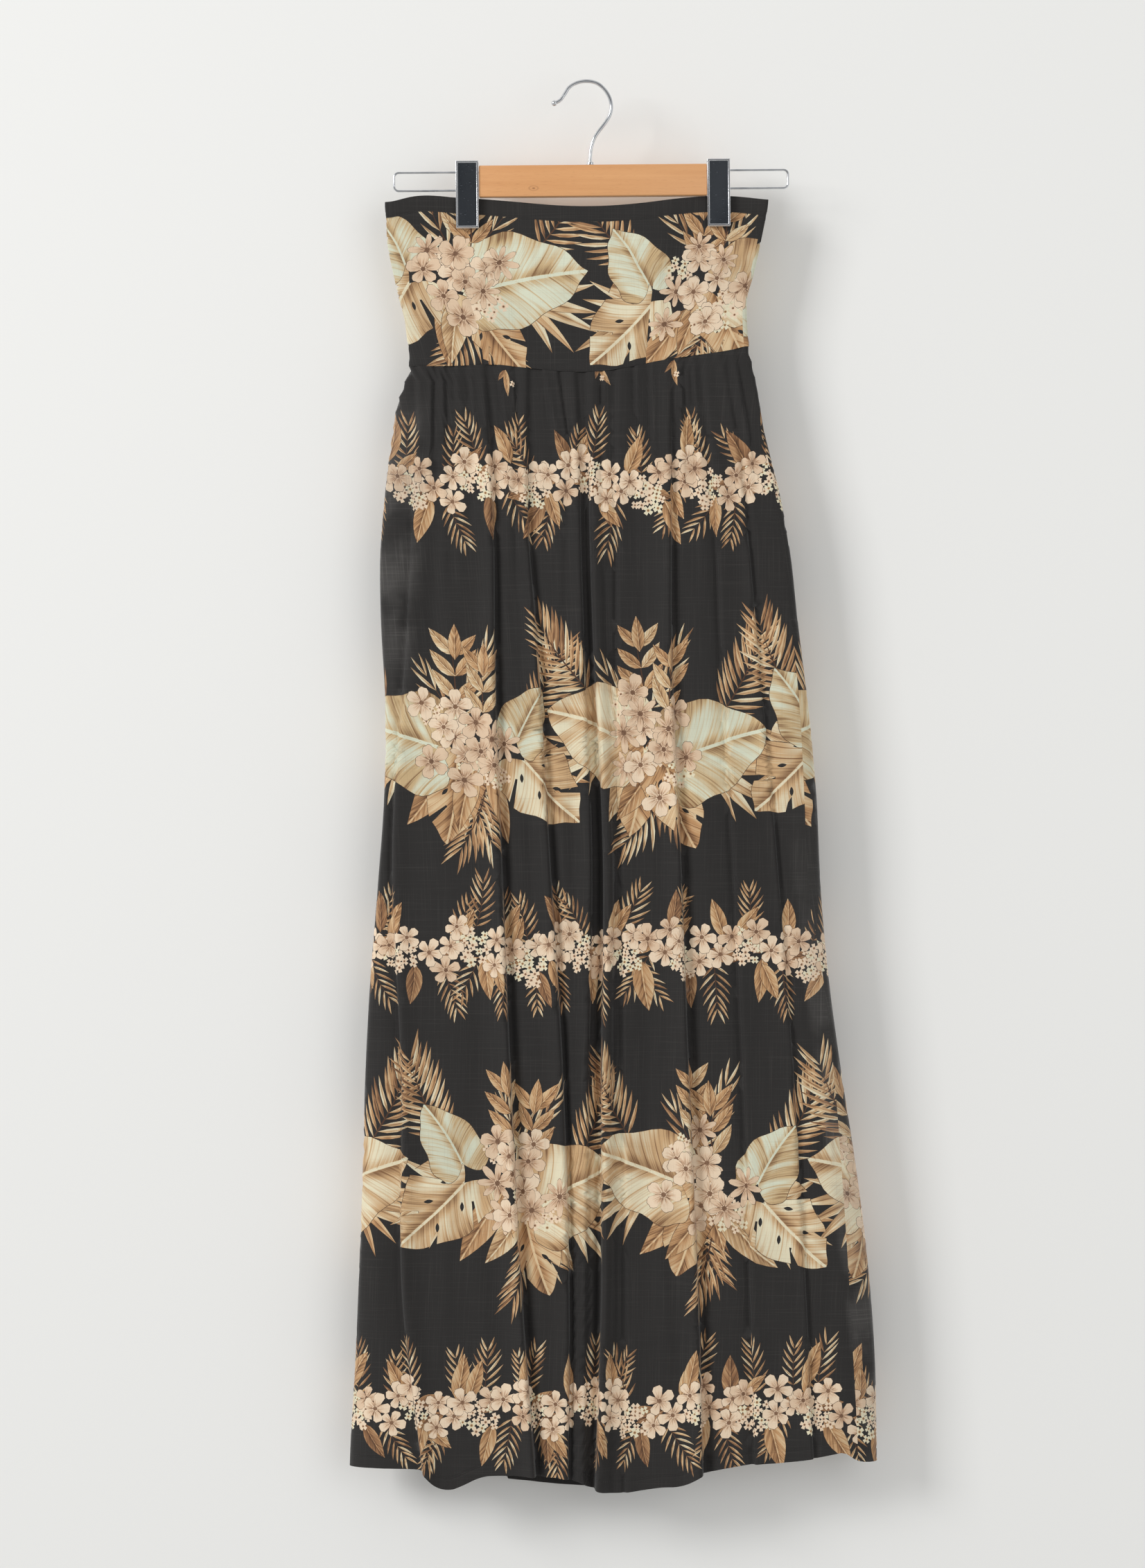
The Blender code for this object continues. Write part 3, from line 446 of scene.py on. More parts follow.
    def skirt_controls(
        self, order: list[tuple], folds: Sequence[Fold], low: float, high: float, drops: Drops,
    ) -> list[Control]:
        """Controls across one side of the skirt.

        Args:
            order: folds and pleats from left to right.
            folds: the long folds alone.
            low: x where the side begins.
            high: x where it ends.
            drops: gives the drop at a place across.

        Returns:
            The controls from left to right.
        """
        crests = []
        for item, slot, share in order:
            drop = drops(item.waist)
            if share is None:
                crests.append(self.fold_place(item, drop))
                continue
            before = self.fold_place(folds[slot - 1], drop)[0] if slot else low
            after = self.fold_place(folds[slot], drop)[0] if slot < len(folds) else high
            crests.append(self.pleat_place(item, drop, share, before, after))
        edges = [(low, 0.0)] + crests + [(high, 0.0)]
        controls = []
        previous = Control(low, 0.0, 1)
        for number, ((item, _, share), (x, rise)) in enumerate(zip(order, crests)):
            beside = (
                self.room_beside((x, rise), edges[number]),
                self.room_beside((x, rise), edges[number + 2]),
            )
            room = beside if item.faces == "right" else beside[::-1]
            build = self.fold_controls if share is None else self.pleat_controls
            group = build(x, rise, item.faces, room)
            controls.append(self.between(previous, group[0]))
            controls.extend(group)
            previous = group[-1]
        controls.append(self.between(previous, Control(high, 0.0, 1)))
        return controls

    def spaced(self, low: float, high: float, count: int) -> list[Control]:
        """Plain controls, evenly spread between two places."""
        return [Control(low + (high - low) * (number + 0.5) / count, 0.0, 5) for number in range(count)]

    def bodice_controls(self, drops: Drops, low: float, high: float) -> list[Control]:
        """Plain controls of the bodice front, with three across each dart."""
        darts = [self.dart_line(dart, drops(dart.foot_x)) for dart in DARTS]
        places = [(low, None), *darts, (high, None)]
        controls = []
        for (start, before), (end, crease), count in zip(places, places[1:], BETWEEN_DARTS):
            start += 0.0 if before is None else self.dart_inset
            inset = 0.0 if crease is None else self.dart_inset
            controls.extend(self.spaced(start, end - inset, count))
            if crease is not None:
                controls.append(Control(end - self.dart_side, 0.0, 2))
                controls.append(Control(end, -self.dart_crease * crease, 2))
                controls.append(Control(end + self.dart_side, 0.0, 3))
        return controls

    def section(
        self,
        front: Callable[[float, float], list[Control]],
        back: Callable[[float, float], list[Control]],
        depths: tuple[Callable[[float, float], float], Callable[[float, float], float]],
        drops: tuple[Drops, Drops],
    ) -> tuple[Array, list[int], int]:
        """Controls of one closed section, from the left seam across the front and back.

        Args:
            front: gives the front's controls between two places.
            back: gives the back's.
            depths: half depth of the front and of the back at a place.
            drops: drop of the front and of the back at a place.

        Returns:
            The control points, the columns after each, and the right seam's number.
        """
        left_drop = drops[0](self.left_fold_x)
        right_drop = drops[0](self.right_fold_x)
        left, right = self.outline("left", left_drop), self.outline("right", right_drop)
        left_side = self.outline("side", left_drop) * self.side_turn
        right_side = self.outline("side", right_drop) * self.side_turn
        wrap = self.outline("wrap", left_drop)
        seam = self.outline("right_seam", right_drop)
        points = [
            (left + wrap, depths[1](left + wrap, left_drop), left_drop),
            (left, left_side, left_drop), (left, -left_side, left_drop),
        ]
        samples = [4] * SIDE_CONTROLS
        for control in front(left, seam):
            drop = drops[0](control.x)
            points.append((control.x, -depths[0](control.x, drop) - control.rise, drop))
            samples.append(control.samples)
        right_seam = len(points)
        points += [
            (seam, -depths[0](seam, right_drop), right_drop),
            (right, -right_side, right_drop), (right, right_side, right_drop),
        ]
        samples += [3, 4, 4]
        for control in reversed(back(left + wrap, right)):
            drop = drops[1](control.x)
            points.append((control.x, depths[1](control.x, drop) + control.rise, drop))
            samples.append(control.samples)
        return np.array(points), samples, right_seam

    def row_drop(self, upper: Sequence[Spot], lower: Sequence[Spot], share: float) -> Drops:
        """Drop at a place across a row that lies a share of the way between two edges."""
        return lambda x: edge_drop(upper, x) * (1 - share) + edge_drop(lower, x) * share

    def bodice_section(self, share: float) -> tuple[Array, list[int], int]:
        """One section of the bodice, from its top edge (0) to the waist seam (1)."""
        front_drop = self.row_drop(TOP_EDGE, WAIST_FRONT, share)
        back_drop = self.row_drop(TOP_EDGE, WAIST_BACK, share)
        return self.section(
            lambda low, high: self.bodice_controls(front_drop, low, high),
            lambda low, high: self.spaced(low, high, 16),
            (self.bodice_front_depth, self.bodice_depth), (front_drop, back_drop),
        )

    def skirt_section(self, share: float) -> tuple[Array, list[int], int]:
        """One section of the skirt, from the waist seam (0) to the hem (1)."""
        front_drop = self.row_drop(WAIST_FRONT, HEM_FRONT, share)
        back_drop = self.row_drop(WAIST_BACK, HEM_BACK, share)
        front_order = self.pleat_order(FRONT_FOLDS, FRONT_PLEATS)
        back_order = self.pleat_order(BACK_FOLDS, self.back_pleats())
        return self.section(
            lambda low, high: self.skirt_controls(front_order, FRONT_FOLDS, low, high, front_drop),
            lambda low, high: self.skirt_controls(back_order, BACK_FOLDS, low, high, back_drop),
            (self.half_depth, self.half_depth), (front_drop, back_drop),
        )


def spline_columns(controls: Array, places: Array) -> Array:
    """Read a closed uniform cubic B-spline at places counted in controls."""
    count = len(controls)
    index = np.floor(places).astype(int)
    t = (places - index)[:, None]
    p0, p1, p2, p3 = (controls[(index + step) % count] for step in (-1, 0, 1, 2))
    w0, w3 = (1 - t) ** 3, t ** 3
    w1, w2 = 3 * t ** 3 - 6 * t * t + 4, -3 * t ** 3 + 3 * t * t + 3 * t + 1
    return (w0 * p0 + w1 * p1 + w2 * p2 + w3 * p3) / 6


# ------------------------------------------------------------------ creases of the cloth

# Soft ridges and troughs that hang in the cloth besides the long folds.
SKIRT_FRONT_CREASES = table(
    Crease,
    (-146, 330, 420, -0.01, 7.0, -1.5), (-128, 470, 360, -0.02, 9.0, 1.3),
    (-118, 760, 420, 0.03, 12.0, -1.6), (-150, 1010, 300, 0.02, 10.0, 1.5),
    (-108, 1080, 250, 0.05, 9.0, 1.4), (-70, 320, 210, 0.00, 4.0, -1.2),
    (-74, 620, 300, 0.04, 7.0, 1.1), (-62, 980, 240, 0.05, 7.0, -1.3),
    (-30, 360, 240, 0.02, 5.0, 1.2), (-24, 640, 260, 0.06, 5.0, -1.2),
    (50, 330, 300, 0.00, 5.0, -1.2), (58, 500, 330, 0.02, 8.0, 1.4),
    (52, 830, 380, 0.03, 9.0, -1.7), (72, 1020, 320, 0.06, 8.0, 1.5),
    (97, 420, 260, 0.02, 6.0, -1.2), (112, 640, 340, 0.05, 8.0, 1.3),
    (122, 900, 330, 0.04, 9.0, -1.6), (133, 330, 250, 0.10, 5.0, -1.1),
    (168, 560, 380, 0.06, 9.0, -1.5), (180, 930, 380, 0.05, 10.0, 1.6),
    (205, 700, 300, 0.06, 6.0, -1.1), (228, 1080, 270, 0.05, 8.0, -1.4),
    (-188, 420, 380, -0.02, 5.0, 1.0), (-205, 830, 420, -0.02, 6.0, -1.0),
    (118, 1090, 150, 0.45, 9.0, 0.9), (150, 1180, 120, 0.55, 10.0, -0.9),
    (60, 1130, 130, 0.50, 9.0, 0.8), (-140, 640, 110, 0.30, 8.0, 0.7),
    (130, 250, 110, 0.32, 5.0, 1.2), (-100, 292, 70, 0.10, 4.0, -0.9),
)
SKIRT_BACK_CREASES = table(
    Crease,
    (-165, 360, 460, -0.03, 8.0, -1.4), (-112, 420, 380, -0.02, 9.0, 1.4),
    (-96, 760, 420, -0.02, 11.0, -1.6), (-120, 1040, 300, -0.03, 9.0, 1.4),
    (-34, 380, 380, 0.01, 8.0, -1.3), (-36, 820, 430, 0.02, 11.0, 1.6),
    (26, 350, 300, 0.03, 6.0, 1.2), (44, 620, 420, 0.04, 10.0, -1.5),
    (60, 1060, 280, 0.05, 9.0, 1.3), (92, 400, 320, 0.05, 8.0, -1.3),
    (122, 720, 460, 0.06, 12.0, 1.6), (150, 450, 330, 0.08, 7.0, 1.2),
    (176, 860, 430, 0.06, 10.0, -1.5), (230, 1000, 330, 0.05, 9.0, 1.2),
    (-185, 900, 400, -0.03, 9.0, 1.3), (0, 1130, 160, 0.40, 9.0, 0.8),
)
BODICE_FRONT_CREASES = table(
    Crease,
    (-146, 140, 60, -0.55, 6.0, -0.8), (-92, 138, 70, 0.50, 7.0, -0.8),
    (-60, 132, 110, 0.22, 8.0, 0.6), (-20, 150, 110, 0.05, 9.0, -0.5),
    (30, 140, 110, -0.10, 9.0, 0.6), (100, 138, 70, -0.50, 7.0, -0.8),
    (150, 138, 60, 0.35, 5.0, -0.7), (122, 190, 70, -0.20, 8.0, 0.6),
    (-160, 200, 74, 0.18, 6.0, 0.7), (-128, 214, 58, 0.30, 6.0, -0.6),
)
BODICE_BACK_CREASES = table(
    Crease,
    (-146, 140, 70, -0.45, 6.0, -0.8), (-88, 138, 90, 0.45, 7.0, -0.8),
    (-30, 150, 110, 0.12, 9.0, 0.7), (10, 160, 100, -0.10, 10.0, -0.6),
    (60, 150, 110, -0.20, 8.0, 0.7), (104, 138, 80, -0.45, 7.0, -0.8),
    (140, 180, 80, 0.20, 7.0, 0.6), (-120, 200, 70, -0.10, 7.0, 0.6),
)


# Uneven waves of the casing's gathers and of the hem: height, turns for each millimetre, start.
CASING_WAVES = ((1.0, 0.83, 0.0), (0.7, 0.47, 1.3), (0.5, 1.31, 0.4))
HEM_WAVES = ((1.0, 0.31, 0.6), (0.6, 0.17, 2.0))


def ripple(x: Array, waves: Sequence[Triple]) -> Array:
    """Sum of sine waves across the dress."""
    return sum(height * np.sin(x * pitch + start) for height, pitch, start in waves)


def crease_relief(creases: Sequence[Crease], x: Array, drop: Array) -> Array:
    """Add up soft creases, in millimetres outwards.

    Args:
        creases: the table of creases.
        x: places across the dress.
        drop: their drops.

    Returns:
        The cloth's displacement at each place.
    """
    relief = np.zeros_like(x)
    for crease in creases:
        share = (drop - crease.drop) / crease.length
        line = crease.x + crease.lean * (drop - crease.drop)
        line = line + 0.9 * crease.width * np.sin(2.4 * share + crease.x)
        body = ramp(share, 0.0, 0.3) * (1 - ramp(share, 0.55, 1.0))
        relief += crease.depth * bump(x - line, crease.width) * body
    return relief


# ------------------------------------------------------------------ flat pattern pieces

@dataclass
class PatternGrid:
    """A cloth piece as rows and columns: where each point hangs and where it lies flat.

    place holds x, y and drop; flat holds the pattern's coordinates with up positive; edge
    is the distance from the free edge; panels are ranges of columns between darts;
    fold_row is the row along which the free edge is turned in.
    """

    name: str
    place: Array
    flat: Array
    edge: Array
    panels: tuple[tuple[int, int], ...]
    fold_row: int
    facing: Array = field(init=False)

    def __post_init__(self) -> None:
        """Work out which way the cloth faces at each point."""
        down = np.gradient(self.place * (1, 1, -1), axis=0)
        along = np.gradient(self.place * (1, 1, -1), axis=1)
        for low, high in self.panels:
            if high - low > 1:
                along[:, low:high + 1] = np.gradient(self.place[:, low:high + 1] * (1, 1, -1), axis=1)
        outward = -np.cross(along, down)
        self.facing = outward / np.maximum(np.linalg.norm(outward, axis=2, keepdims=True), 1e-9)

    def read(self, table: Array, rows: Array, columns: Array) -> Array:
        """Read a table of the grid between its rows and columns."""
        row = np.clip(np.floor(rows).astype(int), 0, table.shape[0] - 2)
        col = np.clip(np.floor(columns).astype(int), 0, table.shape[1] - 2)
        down, across = rows - row, columns - col
        if table.ndim == 3:
            down, across = down[:, None], across[:, None]
        upper = table[row, col] * (1 - across) + table[row, col + 1] * across
        lower = table[row + 1, col] * (1 - across) + table[row + 1, col + 1] * across
        return upper * (1 - down) + lower * down

    def find_columns(self, u: Array, rows: Array) -> Array:
        """Find the columns at which the flat pattern's u is met on the given rows."""
        low = np.zeros(len(u), dtype=int)
        high = np.full(len(u), self.flat.shape[1] - 1)
        table = self.flat[:, :, 0]
        while np.any(high - low > 1):
            middle = (low + high) // 2
            value = self.read(table, rows, middle.astype(float))
            right = value <= u
            low = np.where(right & (high - low > 1), middle, low)
            high = np.where(~right & (high - low > 1), middle, high)
        start = self.read(table, rows, low.astype(float))
        end = self.read(table, rows, np.minimum(low + 1, table.shape[1] - 1).astype(float))
        return low + np.clip((u - start) / np.maximum(end - start, 1e-9), 0.0, 1.0)

    def locate(self, points: Array) -> tuple[Array, Array]:
        """Find the rows and columns of points of the flat pattern."""
        last = self.flat.shape[0] - 1
        middle = self.flat.shape[1] // 2
        ups = self.flat[:, :, 1]
        rows = np.interp(-points[:, 1], -ups[:, middle], np.arange(last + 1))
        for _ in range(5):
            columns = self.find_columns(points[:, 0], rows)
            for _ in range(2):
                value = self.read(ups, rows, columns)
                row = np.floor(np.clip(rows, 0, last - 1e-6))
                slope = self.read(ups, row + 1, columns) - self.read(ups, row, columns)
                rows = np.clip(rows + (points[:, 1] - value) / np.minimum(slope, -1e-6), 0, last)
        return rows, self.find_columns(points[:, 0], rows)

    def outlines(self) -> list[Array]:
        """Boundary of each panel as numbers of grid points, anticlockwise on the pattern."""
        numbers = np.arange(self.flat.shape[0] * self.flat.shape[1]).reshape(self.flat.shape[:2])
        loops = []
        for low, high in self.panels:
            part = numbers[:, low:high + 1]
            loops.append(np.concatenate((part[:, 0], part[-1, 1:], part[-2::-1, -1], part[0, -2:0:-1])))
        return loops

    def turned_edges(self) -> list[tuple[int, int]]:
        """Edges along the turned rim, which no triangle may cross."""
        numbers = np.arange(self.flat.shape[0] * self.flat.shape[1]).reshape(self.flat.shape[:2])
        edges = []
        for row in (self.fold_row - 1, self.fold_row, self.fold_row + 1):
            for low, high in self.panels:
                part = numbers[row, low:high + 1].tolist()
                edges.extend(zip(part, part[1:]))
        return edges


@dataclass(frozen=True)
class Press:
    """How crisply a kind of fold is pressed: heights and widths of its crest and valley."""

    crest_width: float
    valley: float
    valley_width: float
    flank: float
    crest: float = 0.6

    def relief(self, away: Array, side: int) -> Array:
        """A firm crest, and a narrow valley at the foot of its flank."""
        crest = self.crest * bump(away, self.crest_width)
        return crest - self.valley * bump(away - side * self.flank, self.valley_width)


@dataclass(frozen=True)
class PatternMaker:
    """Turns the tube's sections into flat pattern pieces.

    Sizes are millimetres: casing and hem are how deep the cloth is folded in at a free edge,
    turn_gap is the space between its layers, dart_intake the width that a dart takes up at its
    foot, and gather the depth of the gathers.  turn_steps are the rows of a turning, from its
    raw edge to the fold: a share of its depth, what is added to that, and a share of the gap.
    """

    form: TubeForm
    bodice_rows: int = 38
    skirt_rows: int = 72
    casing: float = 15.6
    hem: float = 11.0
    turn_gap: float = 0.55
    turn_steps: tuple[Triple, ...] = ((1.0, 0.0, 1.0), (0.5, 0.0, 1.0), (0.0, 0.5, 0.9), (0.0, -0.1, 0.5))
    dart_intake: float = 19.0
    gather: float = 0.45
    fold_press: Press = Press(1.8, 1.8, 1.5, TubeForm.flank)
    pleat_press: Press = Press(1.4, 1.2, 1.3, TubeForm.pleat_flank)

    def stack(self, sections: list[tuple[Array, list[int], int]]) -> tuple[Array, int, list[int]]:
        """Read every section at the same columns.

        Args:
            sections: controls, columns after each control, and the right seam's number.

        Returns:
            Rows of points, the right seam's column, and the first column of each control.
        """
        samples, right_seam = sections[0][1], sections[0][2]
        places = np.concatenate([number + np.arange(count) / count for number, count in enumerate(samples)])
        places = np.append(places, len(samples))
        firsts = np.concatenate(((0,), np.cumsum(samples))).astype(int)
        rows = np.array([spline_columns(controls, places) for controls, _, _ in sections])
        return rows, int(firsts[right_seam]), list(firsts)

    def arc_lengths(self, place: Array, zero_x: float) -> Array:
        """Distances along each row, from the column that starts nearest to zero_x."""
        steps = np.linalg.norm(np.diff(place[:, :, :2], axis=1), axis=2)
        lengths = np.concatenate((np.zeros((len(place), 1)), np.cumsum(steps, axis=1)), axis=1)
        zero = int(np.argmin(np.abs(place[0, :, 0] - zero_x)))
        return lengths - lengths[:, zero:zero + 1]

    def turned(self, grid: Array, depth: float, last: bool) -> Array:
        """Add rows that fold a free edge to the inside.

        Args:
            grid: rows of points from the upper edge down.
            depth: how far the turning reaches.
            last: whether the free edge is the last row and not the first.

        Returns:
            The rows with the turning, still from the upper edge down.
        """
        rows = grid[::-1] if last else grid
        along = np.gradient(rows[0], axis=0)
        inward = np.stack((-along[:, 1], along[:, 0]), axis=1)
        inward /= np.maximum(np.linalg.norm(inward, axis=1, keepdims=True), 1e-9)
        inward *= (self.turn_gap * np.clip(np.abs(rows[0, :, 1]) / 2.0, 0.3, 1.0))[:, None]
        sink = np.abs(rows[:, :, 2] - rows[0, :, 2])
        added = []
        for share, beyond, gap in self.turn_steps:
            reach = depth * share + beyond
            row = np.array([
                [np.interp(max(reach, 0), sink[:, number], rows[:, number, axis]) for axis in range(3)]
                for number in range(rows.shape[1])
            ])
            row[:, :2] += inward * gap
            if reach < 0:
                row[:, 2] += 0.1 if last else -0.1
            added.append(row)
        joined = np.concatenate((np.array(added), rows))
        return joined[::-1] if last else joined

    def finish(self, name: str, place: Array, flat_x: Array, last: bool, panels: tuple) -> PatternGrid:
        """Put a piece together.

        Args:
            name: the piece's name.
            place: rows of hanging points, with any turned rows.
            flat_x: the pattern's u at each point.
            last: whether the turned edge is the last row and not the first.
            panels: ranges of columns between darts.

        Returns:
            The pattern piece.
        """
        if last:
            fold_row = len(place) - len(self.turn_steps) - 1
            turned, outwards = slice(fold_row + 1, None), -1
        else:
            fold_row = len(self.turn_steps)
            turned, outwards = slice(0, fold_row), 1
        drop = place[:, :, 2]
        edge = np.abs(drop - drop[fold_row])
        up = -drop
        up[turned] = -drop[fold_row] + outwards * edge[turned] + outwards * 0.3
        return PatternGrid(name, place, np.stack((flat_x, up), axis=2), edge, panels, fold_row)

    def bodice(self) -> tuple[PatternGrid, PatternGrid]:
        """Bodice front, opened along its darts, and bodice back."""
        shares = np.linspace(0.0, 1.0, self.bodice_rows + 1)
        rows, seam, firsts = self.stack([self.form.bodice_section(float(share)) for share in shares])
        front, back = rows[:, :seam + 1].copy(), rows[:, seam:].copy()
        self.shape(front, BODICE_FRONT_CREASES, True)
        self.shape(back, BODICE_BACK_CREASES, True)
        front, back = self.turned(front, self.casing, False), self.turned(back, self.casing, False)
        flat = self.arc_lengths(front, 0.0)
        left_dart = SIDE_CONTROLS + BETWEEN_DARTS[0] + 1
        right_dart = left_dart + DART_CONTROLS + BETWEEN_DARTS[1]
        ends = (0, firsts[left_dart], firsts[right_dart], front.shape[1] - 1)
        widened, places, panels, start = [], [], [], 0
        for number, (low, high) in enumerate(zip(ends, ends[1:])):
            place = front[:, low:high + 1]
            part = flat[:, low:high + 1].copy()
            if number != 1:
                dart = DARTS[number // 2]
                foot = float(np.interp(dart.foot_x, front[-1, :, 0], front[-1, :, 2]))
                opened = np.clip((place[:, :, 2] - dart.tip_drop) / (foot - dart.tip_drop), 0, 1)
                part += (number - 1) * self.dart_intake * opened
            widened.append(part)
            places.append(place)
            panels.append((start, start + high - low))
            start += high - low + 1
        front, flat = np.concatenate(places, axis=1), np.concatenate(widened, axis=1)
        whole = ((0, back.shape[1] - 1),)
        return (
            self.finish("bodice_front_cloth", front, flat, False, tuple(panels)),
            self.finish("bodice_back_cloth", back, self.arc_lengths(back, 0.0), False, whole),
        )

    def skirt(self) -> tuple[PatternGrid, PatternGrid]:
        """Skirt front and skirt back."""
        shares = np.linspace(0.0, 1.0, self.skirt_rows + 1)
        rows, seam, _ = self.stack([self.form.skirt_section(float(share)) for share in shares])
        front, back = rows[:, :seam + 1].copy(), rows[:, seam:].copy()
        self.shape(front, SKIRT_FRONT_CREASES, False, FRONT_FOLDS, FRONT_PLEATS)
        self.shape(back, SKIRT_BACK_CREASES, False, BACK_FOLDS, self.form.back_pleats())
        pieces = []
        for name, part in (("skirt_front_cloth", front), ("skirt_back_cloth", back)):
            place = self.turned(part, self.hem, True)
            whole = ((0, place.shape[1] - 1),)
            pieces.append(self.finish(name, place, self.arc_lengths(place, 0.0), True, whole))
        return tuple(pieces)

    def press_folds(self, x: Array, drop: Array, folds: Sequence[Fold], pleats: Sequence[Pleat]) -> Array:
        """Relief that makes folds and pleats crisp: a firm crest over a narrow valley."""
        relief = np.zeros_like(x)
        for fold in folds:
            away = x - smooth_between(drop, FOLD_DROPS, fold.crest)
            relief += ramp(drop, 290.0, 430.0) * self.fold_press.relief(away, side_of(fold.faces))
        for pleat in pleats:
            away = x - np.interp(drop, FOLD_DROPS[:2], (pleat.waist, pleat.hip))
            grown = ramp(drop, 270.0, 290.0) * (1 - ramp(drop, 340.0, 400.0))
            relief += grown * self.pleat_press.relief(away, side_of(pleat.faces))
        return relief

    def shape(self, rows: Array, creases: Sequence[Crease], is_bodice: bool,
              folds: Sequence[Fold] = (), pleats: Sequence[Pleat] = ()) -> None:
        """Press the creases, seams and gathers of a piece into its rows of points."""
        along = np.gradient(rows, axis=1)
        outward = np.stack((along[:, :, 1], -along[:, :, 0]), axis=2)
        outward /= np.maximum(np.linalg.norm(outward, axis=2, keepdims=True), 1e-9)
        relief = crease_relief(creases, rows[:, :, 0], rows[:, :, 2])
        x = rows[:, :, 0]
        below = rows[:, :, 2] - rows[:1, :, 2]
        above = rows[-1:, :, 2] - rows[:, :, 2]
        if is_bodice:
            relief += self.gather * ripple(x, CASING_WAVES) * bump(below - self.casing, 7.0) * 0.5
            relief -= 0.5 * bump(below - self.casing, 1.5)
            relief += 0.45 * bump(above - 3.0, 2.5) - 0.3 * bump(above, 1.2)
        else:
            relief += self.press_folds(x, rows[:, :, 2], folds, pleats)
            relief -= 0.7 * bump(below, 2.2)
            relief -= 0.35 * bump(above - self.hem, 2.0)
            relief += 0.35 * ripple(x, HEM_WAVES) * bump(above - self.hem * 0.5, 9.0)
        fade = 1 - bump(np.minimum(np.arange(rows.shape[1]), np.arange(rows.shape[1])[::-1])[None, :], 3.0)
        clips = ClipPlace()
        for centre in clips.centres:
            beside = np.maximum(np.abs(x - centre) - clips.half, 0.0)
            fade = fade * (1 - bump(beside, 9.0) * (1 - ramp(rows[:, :, 2], clips.foot, clips.foot + 20.0)))
        rows[:, :, :2] += outward * (relief * fade)[:, :, None]


# ------------------------------------------------------------------ the print's motifs

def srgb(*channels: int) -> Triple:
    """Turn a display colour's red, green and blue into the linear colour that shaders use."""
    shares = [value / 255 for value in channels]
    return tuple(share / 12.92 if share <= 0.04045 else ((share + 0.055) / 1.055) ** 2.4 for share in shares)


class Ink(Enum):
    """Colours of the print, each as its dark, its middle and its light."""

    CLOTH = (srgb(40, 38, 37),) * 3
    RIM = (srgb(66, 47, 36),) * 3
    TAN = (srgb(108, 74, 49), srgb(194, 149, 104), srgb(226, 199, 158))
    CREAM = (srgb(134, 98, 66), srgb(207, 171, 127), srgb(233, 224, 194))
    MINT = (srgb(140, 106, 72), srgb(208, 180, 136), srgb(221, 224, 201))
    PINK = (srgb(112, 78, 56), srgb(211, 175, 142), srgb(238, 215, 187))
    ROSE = (srgb(100, 69, 50), srgb(194, 156, 124), srgb(227, 199, 169))
    BROWN = (srgb(78, 52, 37), srgb(150, 109, 75), srgb(198, 158, 115))


FLOWER_INKS = (Ink.PINK, Ink.PINK, Ink.ROSE)
GOLDEN_ANGLE = 2.39996


class Paint(Enum):
    """How a figure of the print is filled in."""

    FLAT = 0
    LEAF = 1
    BLADE = 2
    BROAD = 3
    FLOWER = 4
    FLORET = 5


class Figure(NamedTuple):
    """One outline of the print on the flat pattern."""

    outline: Array
    root: Spot
    turn: float
    size: Spot
    bend: float
    paint: Paint
    ink: Ink


def heading(turn: float) -> tuple[Array, Array]:
    """Unit steps ahead and to the left of a direction in degrees."""
    angle = math.radians(turn)
    return np.array((math.cos(angle), math.sin(angle))), np.array((-math.sin(angle), math.cos(angle)))


